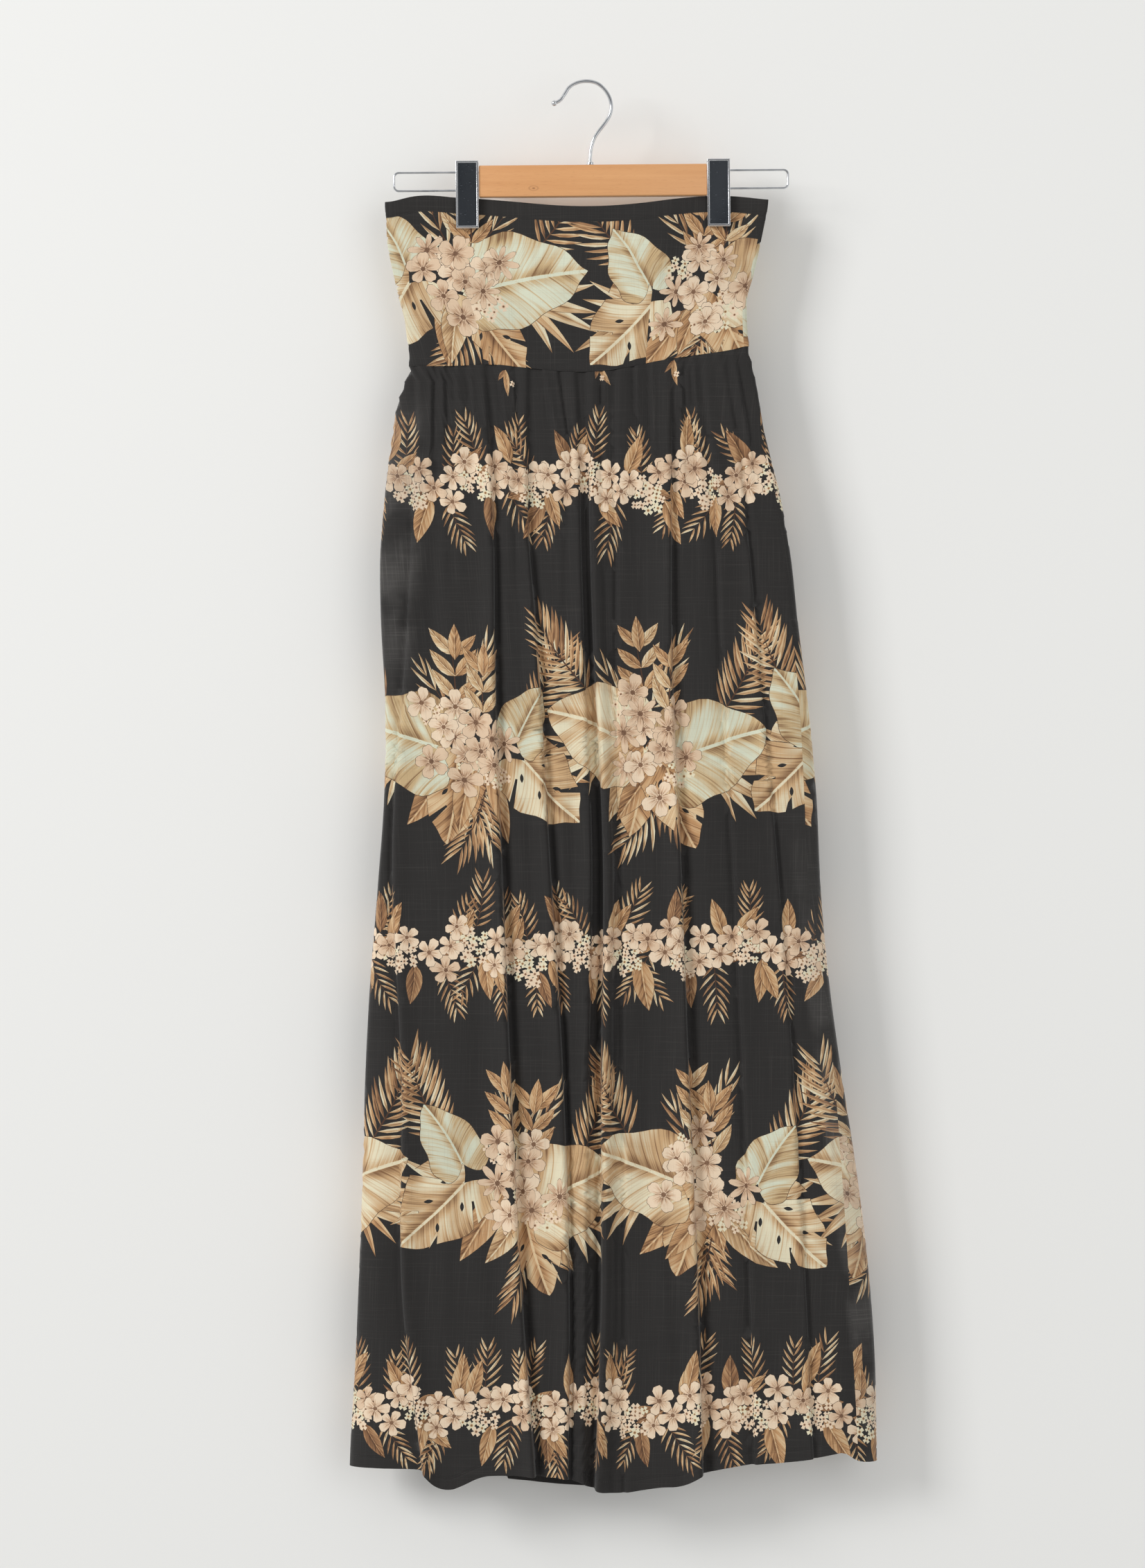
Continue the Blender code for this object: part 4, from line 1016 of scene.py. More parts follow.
@dataclass
class Brush:
    """Draws plain flower and leaf motifs as figures, into layers from the lowest up."""

    seed: int
    layers: dict[int, list[Figure]] = field(default_factory=dict)

    def __post_init__(self) -> None:
        """Start this brush's own row of random numbers."""
        self.random = np.random.default_rng(self.seed)

    def between(self, low: float, high: float) -> float:
        """A random number between two values."""
        return float(self.random.uniform(low, high))

    def pick(self, choices: Sequence) -> object:
        """One of several choices."""
        return choices[int(self.random.integers(len(choices)))]

    def figures(self) -> list[Figure]:
        """All figures, the lowest layer first."""
        return [figure for layer in sorted(self.layers) for figure in self.layers[layer]]

    def add(self, layer: int, shape: Array, root: Spot, turn: float,
            size: Spot, bend: float, paint: Paint, ink: Ink, rim: float = 0.0) -> None:
        """Place an outline.

        Args:
            layer: figures of a higher layer lie on top.
            shape: outline with the root at the origin and the tip along x, in millimetres.
            root: where the root goes.
            turn: direction of the tip, in degrees.
            size: length and width that the fill is drawn to.
            bend: sideways bend of the midrib at the tip, as a share of the width.
            paint: how it is filled.
            ink: its colours.
            rim: width of a dark line around it.
        """
        place = shape @ np.array(heading(turn)) + np.array(root)
        layer_list = self.layers.setdefault(layer, [])
        if rim:
            centre = place.mean(axis=0)
            away = place - centre
            reach = np.linalg.norm(away, axis=1, keepdims=True)
            grown = centre + away * (1 + rim / np.maximum(reach, 1.0))
            layer_list.append(Figure(grown, root, turn, size, bend, Paint.FLAT, Ink.RIM))
        layer_list.append(Figure(place, root, turn, size, bend, paint, ink))

    def leaf(self, layer: int, root: Spot, turn: float, length: float, width: float,
             ink: Ink = Ink.TAN, bend: float = 0.0, paint: Paint = Paint.LEAF, belly: float = 0.75,
             steps: int = 6, rim: float = 0.0) -> None:
        """A pointed leaf with a curved midrib; belly under 1 widens it near its root."""
        t = np.linspace(0.0, 1.0, steps + 1)
        half = width / 2 * np.sin(np.pi * t ** belly) ** 0.9
        spine = np.stack((t * length, bend * length * t * t), axis=1)
        across = np.stack((-2 * bend * t, np.ones_like(t)), axis=1)
        across /= np.linalg.norm(across, axis=1, keepdims=True)
        left = spine + across * half[:, None]
        right = spine - across * half[:, None]
        shape = np.concatenate((right[:1], right[1:-1], left[-1:], left[-2:0:-1]))
        self.add(layer, shape, root, turn, (length, width), bend * length / width, paint, ink, rim)

    def broad_leaf(self, layer: int, root: Spot, turn: float, length: float, width: float,
                   ink: Ink = Ink.CREAM, slits: int = 0, bend: float = 0.0) -> None:
        """A heart-shaped leaf with a wavy edge, slits cut in from it and holes beside its midrib."""
        along = (0.06, -0.03, -0.11, -0.12, -0.05, 0.08, 0.26, 0.46, 0.65, 0.81, 0.92, 1.0)
        across = (0.0, 0.08, 0.20, 0.33, 0.43, 0.49, 0.50, 0.45, 0.36, 0.24, 0.11, 0.0)
        places = np.linspace(0, len(along) - 1, 30)
        numbers = np.arange(len(along))
        xs = smooth_between(places, numbers, along)
        ys = smooth_between(places, numbers, across)
        sides = []
        for sign in (-1, 1):
            waves = np.sin(places * self.between(2.2, 3.0) + self.between(0, 6))
            waves = waves * np.minimum(places / 4, 1) * 0.055
            aside = ys * sign * (1 + waves) * self.between(0.86, 1.06)
            side = np.stack((xs * (1 + waves * 0.15), aside + bend * xs * xs * length / width), axis=1)
            cuts = []
            for number, point in enumerate(side):
                cuts.append(point)
                if slits and 8 <= number < 26 and (number - 8) % max(18 // slits, 3) == 2:
                    inner = np.array((point[0] - 0.13, point[1] * self.between(0.30, 0.52)))
                    for step in ((-0.006, 0.018 * sign), (0.012, 0.0), (0.034, 0.030 * sign)):
                        cuts.append(inner + step)
            sides.append(np.array(cuts) * (length, width))
        shape = np.concatenate((sides[0], sides[1][-2:0:-1]))
        self.add(layer, shape, root, turn, (length, width), bend * length / width, Paint.BROAD, ink, 0.5)
        if slits:
            ahead, aside = heading(turn)
            for at, off in ((0.22, 0.13), (0.40, -0.12), (0.54, 0.10), (0.14, -0.14)):
                start = np.array(root) + ahead * at * length + aside * (off * width + bend * at * at * length)
                self.leaf(layer, tuple(start), turn + math.copysign(42, off), length * 0.10, length * 0.040,
                          Ink.CLOTH, 0.0, Paint.FLAT, 1.0, 5)

    def frond(self, layer: int, root: Spot, turn: float, length: float, pairs: int = 8,
              spread: float = 48.0, ink: Ink = Ink.TAN, bend: float = 0.12) -> None:
        """A palm or fern frond: thin curved blades on both sides of a curved rib."""
        self.leaf(layer, root, turn, length, max(length * 0.018, 0.9), Ink.BROWN, bend, Paint.FLAT, 0.6, 6)
        ahead, aside = heading(turn)
        for number in range(pairs):
            t = 0.12 + 0.84 * number / max(pairs - 1, 1)
            place = np.array(root) + ahead * t * length + aside * bend * length * t * t
            lean = turn + math.degrees(math.atan(2 * bend * t))
            blade = length * (0.22 + 0.24 * math.sin(math.pi * (0.12 + 0.74 * t))) * self.between(0.9, 1.08)
            for side in (-1, 1):
                opening = side * (spread * (1.20 - 0.62 * t)) + self.between(-3, 3)
                colour = self.pick((ink, ink, Ink.CREAM, Ink.BROWN))
                self.leaf(layer, tuple(place), lean + opening, blade, max(blade * 0.105, 2.2), colour,
                          -side * 0.12, Paint.BLADE, 0.8, 4)

    def fan(self, layer: int, root: Spot, turn: float, length: float, blades: int = 6,
            spread: float = 84.0, ink: Ink = Ink.CREAM) -> None:
        """A fan of long lance-shaped leaves from one root."""
        for number in range(blades):
            share = number / max(blades - 1, 1) - 0.5
            reach = length * (1.0 - 0.42 * abs(share)) * self.between(0.84, 1.1)
            colour = self.pick((ink, Ink.TAN, Ink.CREAM))
            lean = turn + share * spread + self.between(-3, 3)
            self.leaf(layer, root, lean, reach, reach * self.between(0.13, 0.17), colour, share * 0.34,
                      Paint.BLADE, 0.70, 8, 0.4)

    def flower(self, layer: int, root: Spot, radius: float, ink: Ink = Ink.PINK,
               petals: int = 5) -> None:
        """An open flower: broad notched petals, or narrow pointed ones where there are more than six."""
        turn = self.between(0, 72)
        broad = petals < 7
        detail = 8 if broad and radius > 15.8 else 6
        angles = np.linspace(0, 2 * np.pi, petals * detail, endpoint=False)
        lobe = np.abs(np.cos(angles * petals / 2))
        uneven = 1 + 0.08 * np.sin(angles + self.between(0, 6))
        uneven = uneven + 0.06 * np.sin(angles * 2 + self.between(0, 6))
        reach = radius * (0.36 + 0.64 * lobe ** (0.50 if broad else 1.15)) * uneven
        if broad:
            reach = reach * (1 - 0.06 * np.exp(-((1 - lobe) / 0.02) ** 2))
        shape = np.stack((np.cos(angles) * reach, np.sin(angles) * reach), axis=1)
        self.add(layer, shape, root, turn, (radius, radius), float(petals), Paint.FLOWER, ink, 0.4)

    def floret(self, layer: int, root: Spot, radius: float) -> None:
        """A tiny flower of a cluster."""
        angles = np.radians([90 * petal + aside for petal in range(4) for aside in (-23, 23, 45)])
        reach = radius * np.tile((1.0, 1.0, 0.40), 4)
        shape = np.stack((np.cos(angles) * reach, np.sin(angles) * reach), axis=1)
        self.add(layer, shape, root, self.between(0, 72), (radius, radius), 4.0, Paint.FLORET,
                 self.pick((Ink.PINK, Ink.CREAM, Ink.PINK)))

    def cluster(self, layer: int, centre: Spot, reach: float, count: int) -> None:
        """A round head of tiny flowers over a dark ground of short leaves."""
        for number in range(count):
            angle = number * GOLDEN_ANGLE + self.between(-0.3, 0.3)
            away = reach * math.sqrt((number + 0.5) / count)
            place = (centre[0] + away * math.cos(angle) * 1.1, centre[1] + away * math.sin(angle) * 0.95)
            self.floret(layer, place, self.between(3.9, 5.4))

    def sprig(self, layer: int, root: Spot, turn: float, length: float, pairs: int = 3,
              ink: Ink = Ink.TAN) -> None:
        """A stem with pairs of ovate leaves and one at its tip."""
        self.leaf(layer, root, turn, length * 0.8, 1.6, Ink.BROWN, 0.05, Paint.FLAT, 0.5, 4)
        ahead = heading(turn)[0]
        for number in range(pairs):
            t = 0.18 + 0.5 * number / max(pairs - 1, 1)
            place = tuple(root + ahead * t * length)
            for side in (-1, 1):
                reach = length * self.between(0.34, 0.44)
                self.leaf(layer, place, turn + side * self.between(38, 58), reach, reach * 0.36,
                          self.pick((ink, Ink.CREAM, Ink.TAN)), -side * 0.12, Paint.LEAF, 0.8, 6, 0.4)
        tip = tuple(root + ahead * 0.62 * length)
        self.leaf(layer, tip, turn, length * 0.42, length * 0.15, ink, 0.0, Paint.LEAF, 0.8, 6, 0.4)


@dataclass(frozen=True)
class Garland:
    """A narrow band of small flowers, leaves and ferns along a piece."""

    up: float
    low: float
    high: float
    pitch: float = 33.0

    def draw(self, brush: Brush) -> None:
        """Draw the band from its left end to its right end."""
        count = int((self.high - self.low) / self.pitch)
        for number in range(count + 1):
            u = self.low + (self.high - self.low) * number / count + brush.between(-4, 4)
            up = self.up + 7 * math.sin(number * 1.9 + self.up) + brush.between(-4, 4)
            leafy = 1 if number % 2 else -1
            brush.frond(0, (u + brush.between(-6, 6), up + leafy * 10), leafy * brush.between(62, 118),
                        brush.between(42, 54), 7, 50.0, Ink.TAN, brush.between(-0.2, 0.2))
            if brush.between(0, 1) < 0.45:
                brush.frond(0, (u + brush.between(8, 16), up - leafy * 10), -leafy * brush.between(58, 122),
                            brush.between(36, 46), 6, 50.0, Ink.TAN, brush.between(-0.2, 0.2))
            reach = brush.between(38, 50)
            root = (u + brush.between(10, 20), up - leafy * 12)
            brush.leaf(1, root, -leafy * brush.between(55, 125), reach, reach * brush.between(0.34, 0.42),
                       brush.pick((Ink.TAN, Ink.TAN, Ink.BROWN)), brush.between(-0.15, 0.15),
                       Paint.LEAF, 0.8, 7, 0.4)
            if brush.between(0, 1) < 0.6:
                reach = brush.between(30, 42)
                root = (u + brush.between(-18, -8), up + leafy * 12)
                brush.leaf(1, root, leafy * brush.between(40, 80), reach, reach * 0.38, Ink.TAN,
                           brush.between(-0.15, 0.15), Paint.LEAF, 0.8, 7, 0.4)
            reach = brush.between(24, 34)
            turn = brush.pick((0, 180)) + brush.between(-30, 30)
            brush.leaf(1, (u, up), turn, reach, reach * 0.42, Ink.BROWN, 0.05, Paint.LEAF, 0.85, 6)
            if number % 2:
                brush.cluster(2, (u, up - brush.between(0, 10)), brush.between(17, 20), 20)
                spots = ((-13, 15),) if number % 4 == 1 else ((12, 14), (-16, 8))
            else:
                spots = ((-9, -13), (10, -3), (-6, 11)) if number % 4 else ((9, -12), (-10, 2), (12, 12))
            for aside, above in spots:
                spot = (u + aside + brush.between(-2, 2), up + above + brush.between(-2, 2))
                brush.flower(3, spot, brush.between(13.0, 15.5), brush.pick(FLOWER_INKS))


@dataclass(frozen=True)
class Bouquet:
    """One large group of broad leaves, lances, fronds and flowers."""

    u: float
    up: float
    turn: float
    size: float = 1.0
    kind: str = "broad"

    def draw(self, brush: Brush) -> None:
        """Draw the group from its fronds up to its flowers."""
        centre = (self.u, self.up)
        size = self.size
        ahead = 1 if math.cos(math.radians(self.turn)) > 0 else -1
        heart = (self.u - ahead * 50 * size, self.up - 2)
        brush.frond(0, self.off(centre, 90 - ahead * 30, 30), 90 - ahead * brush.between(34, 50),
                    92 * size, 12, 54.0, Ink.TAN, ahead * 0.2)
        brush.frond(0, self.off(heart, 90 + ahead * 20, 14), 90 + ahead * brush.between(26, 48),
                    80 * size, 5, 30.0, Ink.CREAM, -ahead * 0.12)
        brush.frond(0, self.off(heart, -80, 26), -90 - ahead * brush.between(4, 30),
                    80 * size, 10, 46.0, Ink.TAN, -ahead * 0.2)
        brush.fan(0, self.off(centre, -90, 16), (0 if ahead > 0 else 180) - ahead * 18, 88 * size, 6, 66.0)
        for lean, reach in ((-90 - ahead * 34, 70), (-90 + ahead * 30, 84)):
            turn = lean + brush.between(-10, 10)
            brush.leaf(1, self.off(heart, turn, 16), turn, reach * size, reach * 0.36 * size,
                       brush.pick((Ink.TAN, Ink.TAN, Ink.CREAM)), brush.between(-0.2, 0.2),
                       Paint.LEAF, 0.8, 9, 0.5)
        if self.kind == "broad":
            root = self.off(centre, self.turn + 180, 40 * size)
            brush.broad_leaf(2, root, self.turn, 110 * size, 100 * size, brush.pick((Ink.MINT, Ink.CREAM)),
                             0, -ahead * 0.10)
            brush.broad_leaf(1, self.off(heart, -84, 14), -84 + ahead * brush.between(4, 26),
                             92 * size, 66 * size, Ink.TAN, 3, ahead * 0.12)
        else:
            brush.broad_leaf(1, self.off(centre, -60, 8), -50 if ahead > 0 else -130, 96 * size, 84 * size,
                             Ink.CREAM, 3, ahead * 0.10)
            brush.broad_leaf(2, self.off(centre, 100, 4), 90 - ahead * 24, 72 * size, 62 * size, Ink.MINT, 0,
                             -ahead * 0.16)
        brush.sprig(3, self.off(heart, 80, 24), 90 - ahead * brush.between(-8, 10), 84 * size, 3)
        brush.cluster(4, self.off(heart, -50, 30), 16, 14)
        brush.cluster(4, self.off(heart, 128, 30), 12, 8)
        for number in range(6):
            angle = number * GOLDEN_ANGLE + self.turn
            away = 19.5 * math.sqrt(number * 0.95) * size
            spot = (heart[0] + away * math.cos(angle), heart[1] + away * math.sin(angle) * 1.12)
            if number in (1, 4):
                brush.flower(5, spot, brush.between(17.0, 20.0) * size, Ink.ROSE, 8)
            else:
                brush.flower(5, spot, brush.between(16.0, 19.5) * size, brush.pick(FLOWER_INKS))

    def off(self, centre: Spot, turn: float, reach: float) -> Spot:
        """A place some way off a centre."""
        return tuple(centre + heading(turn)[0] * reach)


@dataclass(frozen=True)
class PrintLayout:
    """Where the bands of the print lie; up is counted from the hook, so it is below zero."""

    garlands: tuple[float, ...] = (-392.0, -850.0, -1296.0)
    small_reach: float = 300.0

    def skirt(self, seed: int, bouquets: Sequence[Bouquet]) -> list[Figure]:
        """Print of a skirt panel."""
        brush = Brush(seed)
        for number, up in enumerate(self.garlands):
            reach = self.small_reach + 45 * number
            Garland(up, -reach, reach).draw(brush)
        for bouquet in bouquets:
            bouquet.draw(brush)
        for u, up, turn in ((-86, -282, -97), (92, -272, -82), (12, -276, -60)):
            brush.leaf(0, (u, up), turn, 26, 6, Ink.TAN, 0.1, Paint.LEAF, 0.8, 6)
            brush.leaf(0, (u, up), turn - 34, 15, 4.5, Ink.BROWN, -0.1, Paint.LEAF, 0.8, 5)
            brush.floret(1, (u + 5, up - 14), 3.2)
        return brush.figures()

    def bodice(self, seed: int, bouquets: Sequence[Bouquet]) -> list[Figure]:
        """Print of a bodice piece."""
        brush = Brush(seed)
        for bouquet in bouquets:
            bouquet.draw(brush)
        return brush.figures()


FRONT_BOUQUETS = table(
    Bouquet,
    (-226, -640, 160), (-104, -654, 22, 0.95, "slit"), (8, -632, 158),
    (128, -652, 24), (246, -640, 150, 1.0, "slit"),
    (-300, -1074, 26), (-176, -1066, 152, 1.0, "slit"), (-52, -1084, 28),
    (66, -1064, 155), (188, -1086, 22, 1.0, "slit"), (312, -1068, 160),
)
BACK_BOUQUETS = table(
    Bouquet,
    (-240, -636, 24), (-120, -650, 156, 1.0, "slit"), (4, -634, 20),
    (124, -648, 158), (240, -636, 26, 0.95, "slit"),
    (-306, -1070, 156), (-184, -1084, 26), (-62, -1064, 152, 1.0, "slit"),
    (60, -1086, 24), (182, -1068, 158), (304, -1082, 30, 1.0, "slit"),
)
BODICE_FRONT_BOUQUETS = table(
    Bouquet,
    (-172, -186, 150, 0.95, "slit"), (-66, -194, 16, 1.0), (66, -206, 164, 0.95, "slit"),
    (178, -190, 24, 0.9),
)
BODICE_BACK_BOUQUETS = table(
    Bouquet,
    (-160, -196, 28, 0.95), (-48, -190, 152, 0.95, "slit"), (62, -204, 22, 1.0),
    (168, -190, 156, 0.9, "slit"),
)


# ------------------------------------------------------------------ cloth meshes

@dataclass(frozen=True)
class ClothCutter:
    """Cuts a pattern piece along its print and carries it to its hanging place."""

    weld: float = 1e-4

    def cut(self, grid: PatternGrid, figures: Sequence[Figure]) -> tuple[Array, Array, Array, list[Figure]]:
        """Triangulate a piece.

        Args:
            grid: the pattern piece.
            figures: the print's figures, the lowest first.

        Returns:
            Flat points, triangles, the number of the figure on top of each (0 for none), and the
            figures that reach the piece.
        """
        flat = grid.flat.reshape(-1, 2)
        low, high = flat.min(axis=0) - 1, flat.max(axis=0) + 1
        kept = [
            figure for figure in figures
            if np.all(figure.outline.max(axis=0) > low) and np.all(figure.outline.min(axis=0) < high)
        ]
        loops = grid.outlines()
        points = [flat] + [figure.outline for figure in kept]
        faces = [loop.tolist() for loop in loops]
        start = len(flat)
        for figure in kept:
            faces.append(list(range(start, start + len(figure.outline))))
            start += len(figure.outline)
        cut = delaunay_2d_cdt(np.concatenate(points).tolist(), grid.turned_edges(), faces, 0, self.weld, True)
        plane = np.array([tuple(point) for point in cut[0]])
        panels = len(loops)
        inside = [
            (face, max(owners)) for face, owners in zip(cut[2], cut[5])
            if min(owners, default=panels) < panels
        ]
        tops = np.array([max(top - panels + 1, 0) for _, top in inside])
        return plane, np.array([face for face, _ in inside]), tops, kept

    def make(self, grid: PatternGrid, figures: Sequence[Figure]) -> Piece:
        """Build the hanging cloth of a pattern piece as a mesh object."""
        plane, triangles, tops, kept = self.cut(grid, figures)
        used, inverse = np.unique(triangles.ravel(), return_inverse=True)
        plane = plane[used]
        triangles = inverse.reshape(-1, 3)
        rows, columns = grid.locate(plane)
        place = grid.read(grid.place, rows, columns)
        normals = grid.read(grid.facing, rows, columns)
        normals /= np.maximum(np.linalg.norm(normals, axis=1, keepdims=True), 1e-9)
        first, second, third = (plane[triangles[:, corner]] for corner in range(3))
        area = np.cross(second - first, third - first)
        triangles[area < 0] = triangles[area < 0][:, ::-1]
        keep = np.abs(area) > 1e-5
        triangles, tops = triangles[keep], tops[keep]
        mesh = bpy.data.meshes.new(grid.name)
        hung = place * (MM, MM, -MM)
        mesh.from_pydata(hung.tolist(), [], triangles.tolist())
        mesh.update()
        self.write_layers(mesh, grid, plane, triangles, tops, kept, (rows, columns))
        mesh.normals_split_custom_set_from_vertices(normals.tolist())
        LOG.info("%s: %d triangles, %d figures", grid.name, len(triangles), len(kept))
        return put(grid.name, mesh)

    def write_layers(self, mesh: bpy.types.Mesh, grid: PatternGrid, plane: Array, triangles: Array,
                     tops: Array, kept: Sequence[Figure], where: tuple[Array, Array]) -> None:
        """Write the cloth's coordinates and the print's colours on each face corner."""
        corners = triangles.ravel()
        top = np.repeat(tops, 3)
        flat = plane[corners]
        cloth_ink = Figure(np.zeros((1, 2)), (0, 0), 0.0, (1.0, 1.0), 0.0, Paint.FLAT, Ink.CLOTH)
        table = [cloth_ink, *kept]
        roots = np.array([figure.root for figure in table], dtype=float)[top]
        turns = np.radians([figure.turn for figure in table])[top]
        sizes = np.array([figure.size for figure in table], dtype=float)[top]
        away = flat - roots
        ahead = (away[:, 0] * np.cos(turns) + away[:, 1] * np.sin(turns)) / sizes[:, 0]
        aside = (-away[:, 0] * np.sin(turns) + away[:, 1] * np.cos(turns)) / sizes[:, 1]
        low, span = plane.min(axis=0), float(np.ptp(plane, axis=0).max())
        edge = grid.read(grid.edge, *where)[corners]
        self.write_map(mesh, "OFBake", (flat - low) / span * 0.996 + 0.002)
        self.write_map(mesh, "pattern", flat * MM)
        self.write_map(mesh, "figure", np.stack((ahead, aside), axis=1))
        self.write_map(mesh, "edge", np.stack((flat[:, 0] * MM, edge * MM), axis=1))
        style = np.array([(figure.paint.value, figure.bend, (number * 0.618) % 1.0)
                          for number, figure in enumerate(table)])[top]
        mesh.attributes.new("style", "FLOAT_VECTOR", "CORNER").data.foreach_set("vector", style.ravel())
        for side, name in enumerate(("deep", "middle", "light")):
            colours = np.array([(*figure.ink.value[side], 1.0) for figure in table])[top]
            mesh.attributes.new(name, "FLOAT_COLOR", "CORNER").data.foreach_set("color", colours.ravel())

    def write_map(self, mesh: bpy.types.Mesh, name: str, values: Array) -> None:
        """Add a UV map with the given values at the face corners."""
        mesh.uv_layers.new(name=name).data.foreach_set("uv", values.astype(np.float32).ravel())


# ------------------------------------------------------------------ shader building

def math_method(operation: str, swapped: bool = False) -> Callable[..., "Value"]:
    """Make an arithmetic method: it adds a Math node that takes this value first, or last if swapped."""

    def method(value: "Value", *others: object) -> "Value":
        """Add the node."""
        return value.desk.maths(operation, *((*others, value) if swapped else (value, *others)))

    return method


class Value:
    """A number inside a material's node tree, with the arithmetic of its socket."""

    def __init__(self, desk: "Desk", socket: Socket) -> None:
        """Wrap a socket."""
        self.desk = desk
        self.socket = socket

    __add__ = __radd__ = math_method("ADD")
    __sub__ = math_method("SUBTRACT")
    __rsub__ = math_method("SUBTRACT", swapped=True)
    __mul__ = __rmul__ = math_method("MULTIPLY")
    __truediv__ = math_method("DIVIDE")
    __pow__ = math_method("POWER")
    __abs__ = math_method("ABSOLUTE")
    sine = math_method("SINE")
    part = math_method("FRACT")

    def clamp(self) -> "Value":
        """The value held between 0 and 1."""
        node = self.desk.add("Clamp", {"Value": self})
        return Value(self.desk, node.outputs["Result"])

    def step(self, low: float, high: float) -> "Value":
        """Rise softly from 0 at low to 1 at high, or fall where high is the lower."""
        node = self.desk.add("MapRange", {"Value": self, "From Min": low, "From Max": high},
                             interpolation_type="SMOOTHSTEP", clamp=True)
        return Value(self.desk, node.outputs["Result"])


class Desk:
    """A material's node tree, to which nodes and arithmetic are added."""

    def __init__(self, name: str) -> None:
        """Start a material with a Principled shader."""
        self.material = bpy.data.materials.new(name)
        self.material.use_nodes = True
        self.tree = self.material.node_tree
        self.shader = self.tree.nodes["Principled BSDF"]

    def add(self, kind: str, inputs: dict[object, object] | None = None,
            **settings: object) -> bpy.types.Node:
        """Add a node.

        Args:
            kind: its type, without ShaderNode before it.
            inputs: values or links of its sockets.
            settings: its own settings, set first.

        Returns:
            The node.
        """
        node = self.tree.nodes.new("ShaderNode" + kind)
        for name, value in settings.items():
            setattr(node, name, value)
        for name, value in (inputs or {}).items():
            self.feed(node.inputs[name], value)
        return node

    def feed(self, socket: Socket, value: object) -> None:
        """Set a socket to a number or colour, or link it to a value."""
        if isinstance(value, Value):
            self.tree.links.new(value.socket, socket)
        elif isinstance(value, Socket):
            self.tree.links.new(value, socket)
        elif isinstance(value, tuple) and len(value) == 3 and socket.type == "RGBA":
            socket.default_value = (*value, 1.0)
        else:
            socket.default_value = value

    def maths(self, operation: str, *values: object) -> Value:
        """Add a Math node."""
        node = self.add("Math", operation=operation)
        for socket, value in zip(node.inputs, values):
            self.feed(socket, value)
        return Value(self, node.outputs[0])

    def place(self) -> Socket:
        """The Object coordinates."""
        return self.add("TexCoord").outputs["Object"]

    def map(self, name: str) -> Socket:
        """A UV map's coordinates."""
        return self.add("UVMap", uv_map=name).outputs["UV"]

    def split(self, vector: Socket) -> tuple[Value, Value, Value]:
        """The three numbers of a vector."""
        node = self.add("SeparateXYZ", {"Vector": vector})
        return tuple(Value(self, node.outputs[axis]) for axis in ("X", "Y", "Z"))

    def attribute(self, name: str, output: str = "Vector") -> Socket:
        """An attribute of the mesh."""
        return self.add("Attribute", attribute_name=name).outputs[output]

    def stretched(self, vector: Socket, scale: Triple) -> Socket:
        """Coordinates scaled along each axis."""
        node = self.add("Mapping", {"Vector": vector, "Scale": scale})
        return node.outputs["Vector"]

    def vector(self, x: object, y: object, z: object) -> Socket:
        """A vector of three numbers."""
        return self.add("CombineXYZ", {"X": x, "Y": y, "Z": z}).outputs["Vector"]

    def noise(self, vector: Socket, scale: float, detail: float = 2.0) -> Value:
        """A cloudy pattern, from 0 to 1."""
        node = self.add("TexNoise", {"Vector": vector, "Scale": scale, "Detail": detail})
        return Value(self, node.outputs["Fac"])

    def mix(self, share: object, first: object, second: object) -> Socket:
        """Mix two colours."""
        node = self.add("Mix", {0: share, 6: first, 7: second}, data_type="RGBA")
        return node.outputs[2]

    def bump(self, height: Value, distance: float, strength: float = 1.0) -> None:
        """Raise the surface by a height."""
        node = self.add("Bump", {"Height": height, "Distance": distance, "Strength": strength})
        self.tree.links.new(node.outputs["Normal"], self.shader.inputs["Normal"])

    def set(self, **values: object) -> None:
        """Feed sockets of the shader; a name's underscores stand for spaces."""
        for name, value in values.items():
            self.feed(self.shader.inputs[name.replace("_", " ")], value)


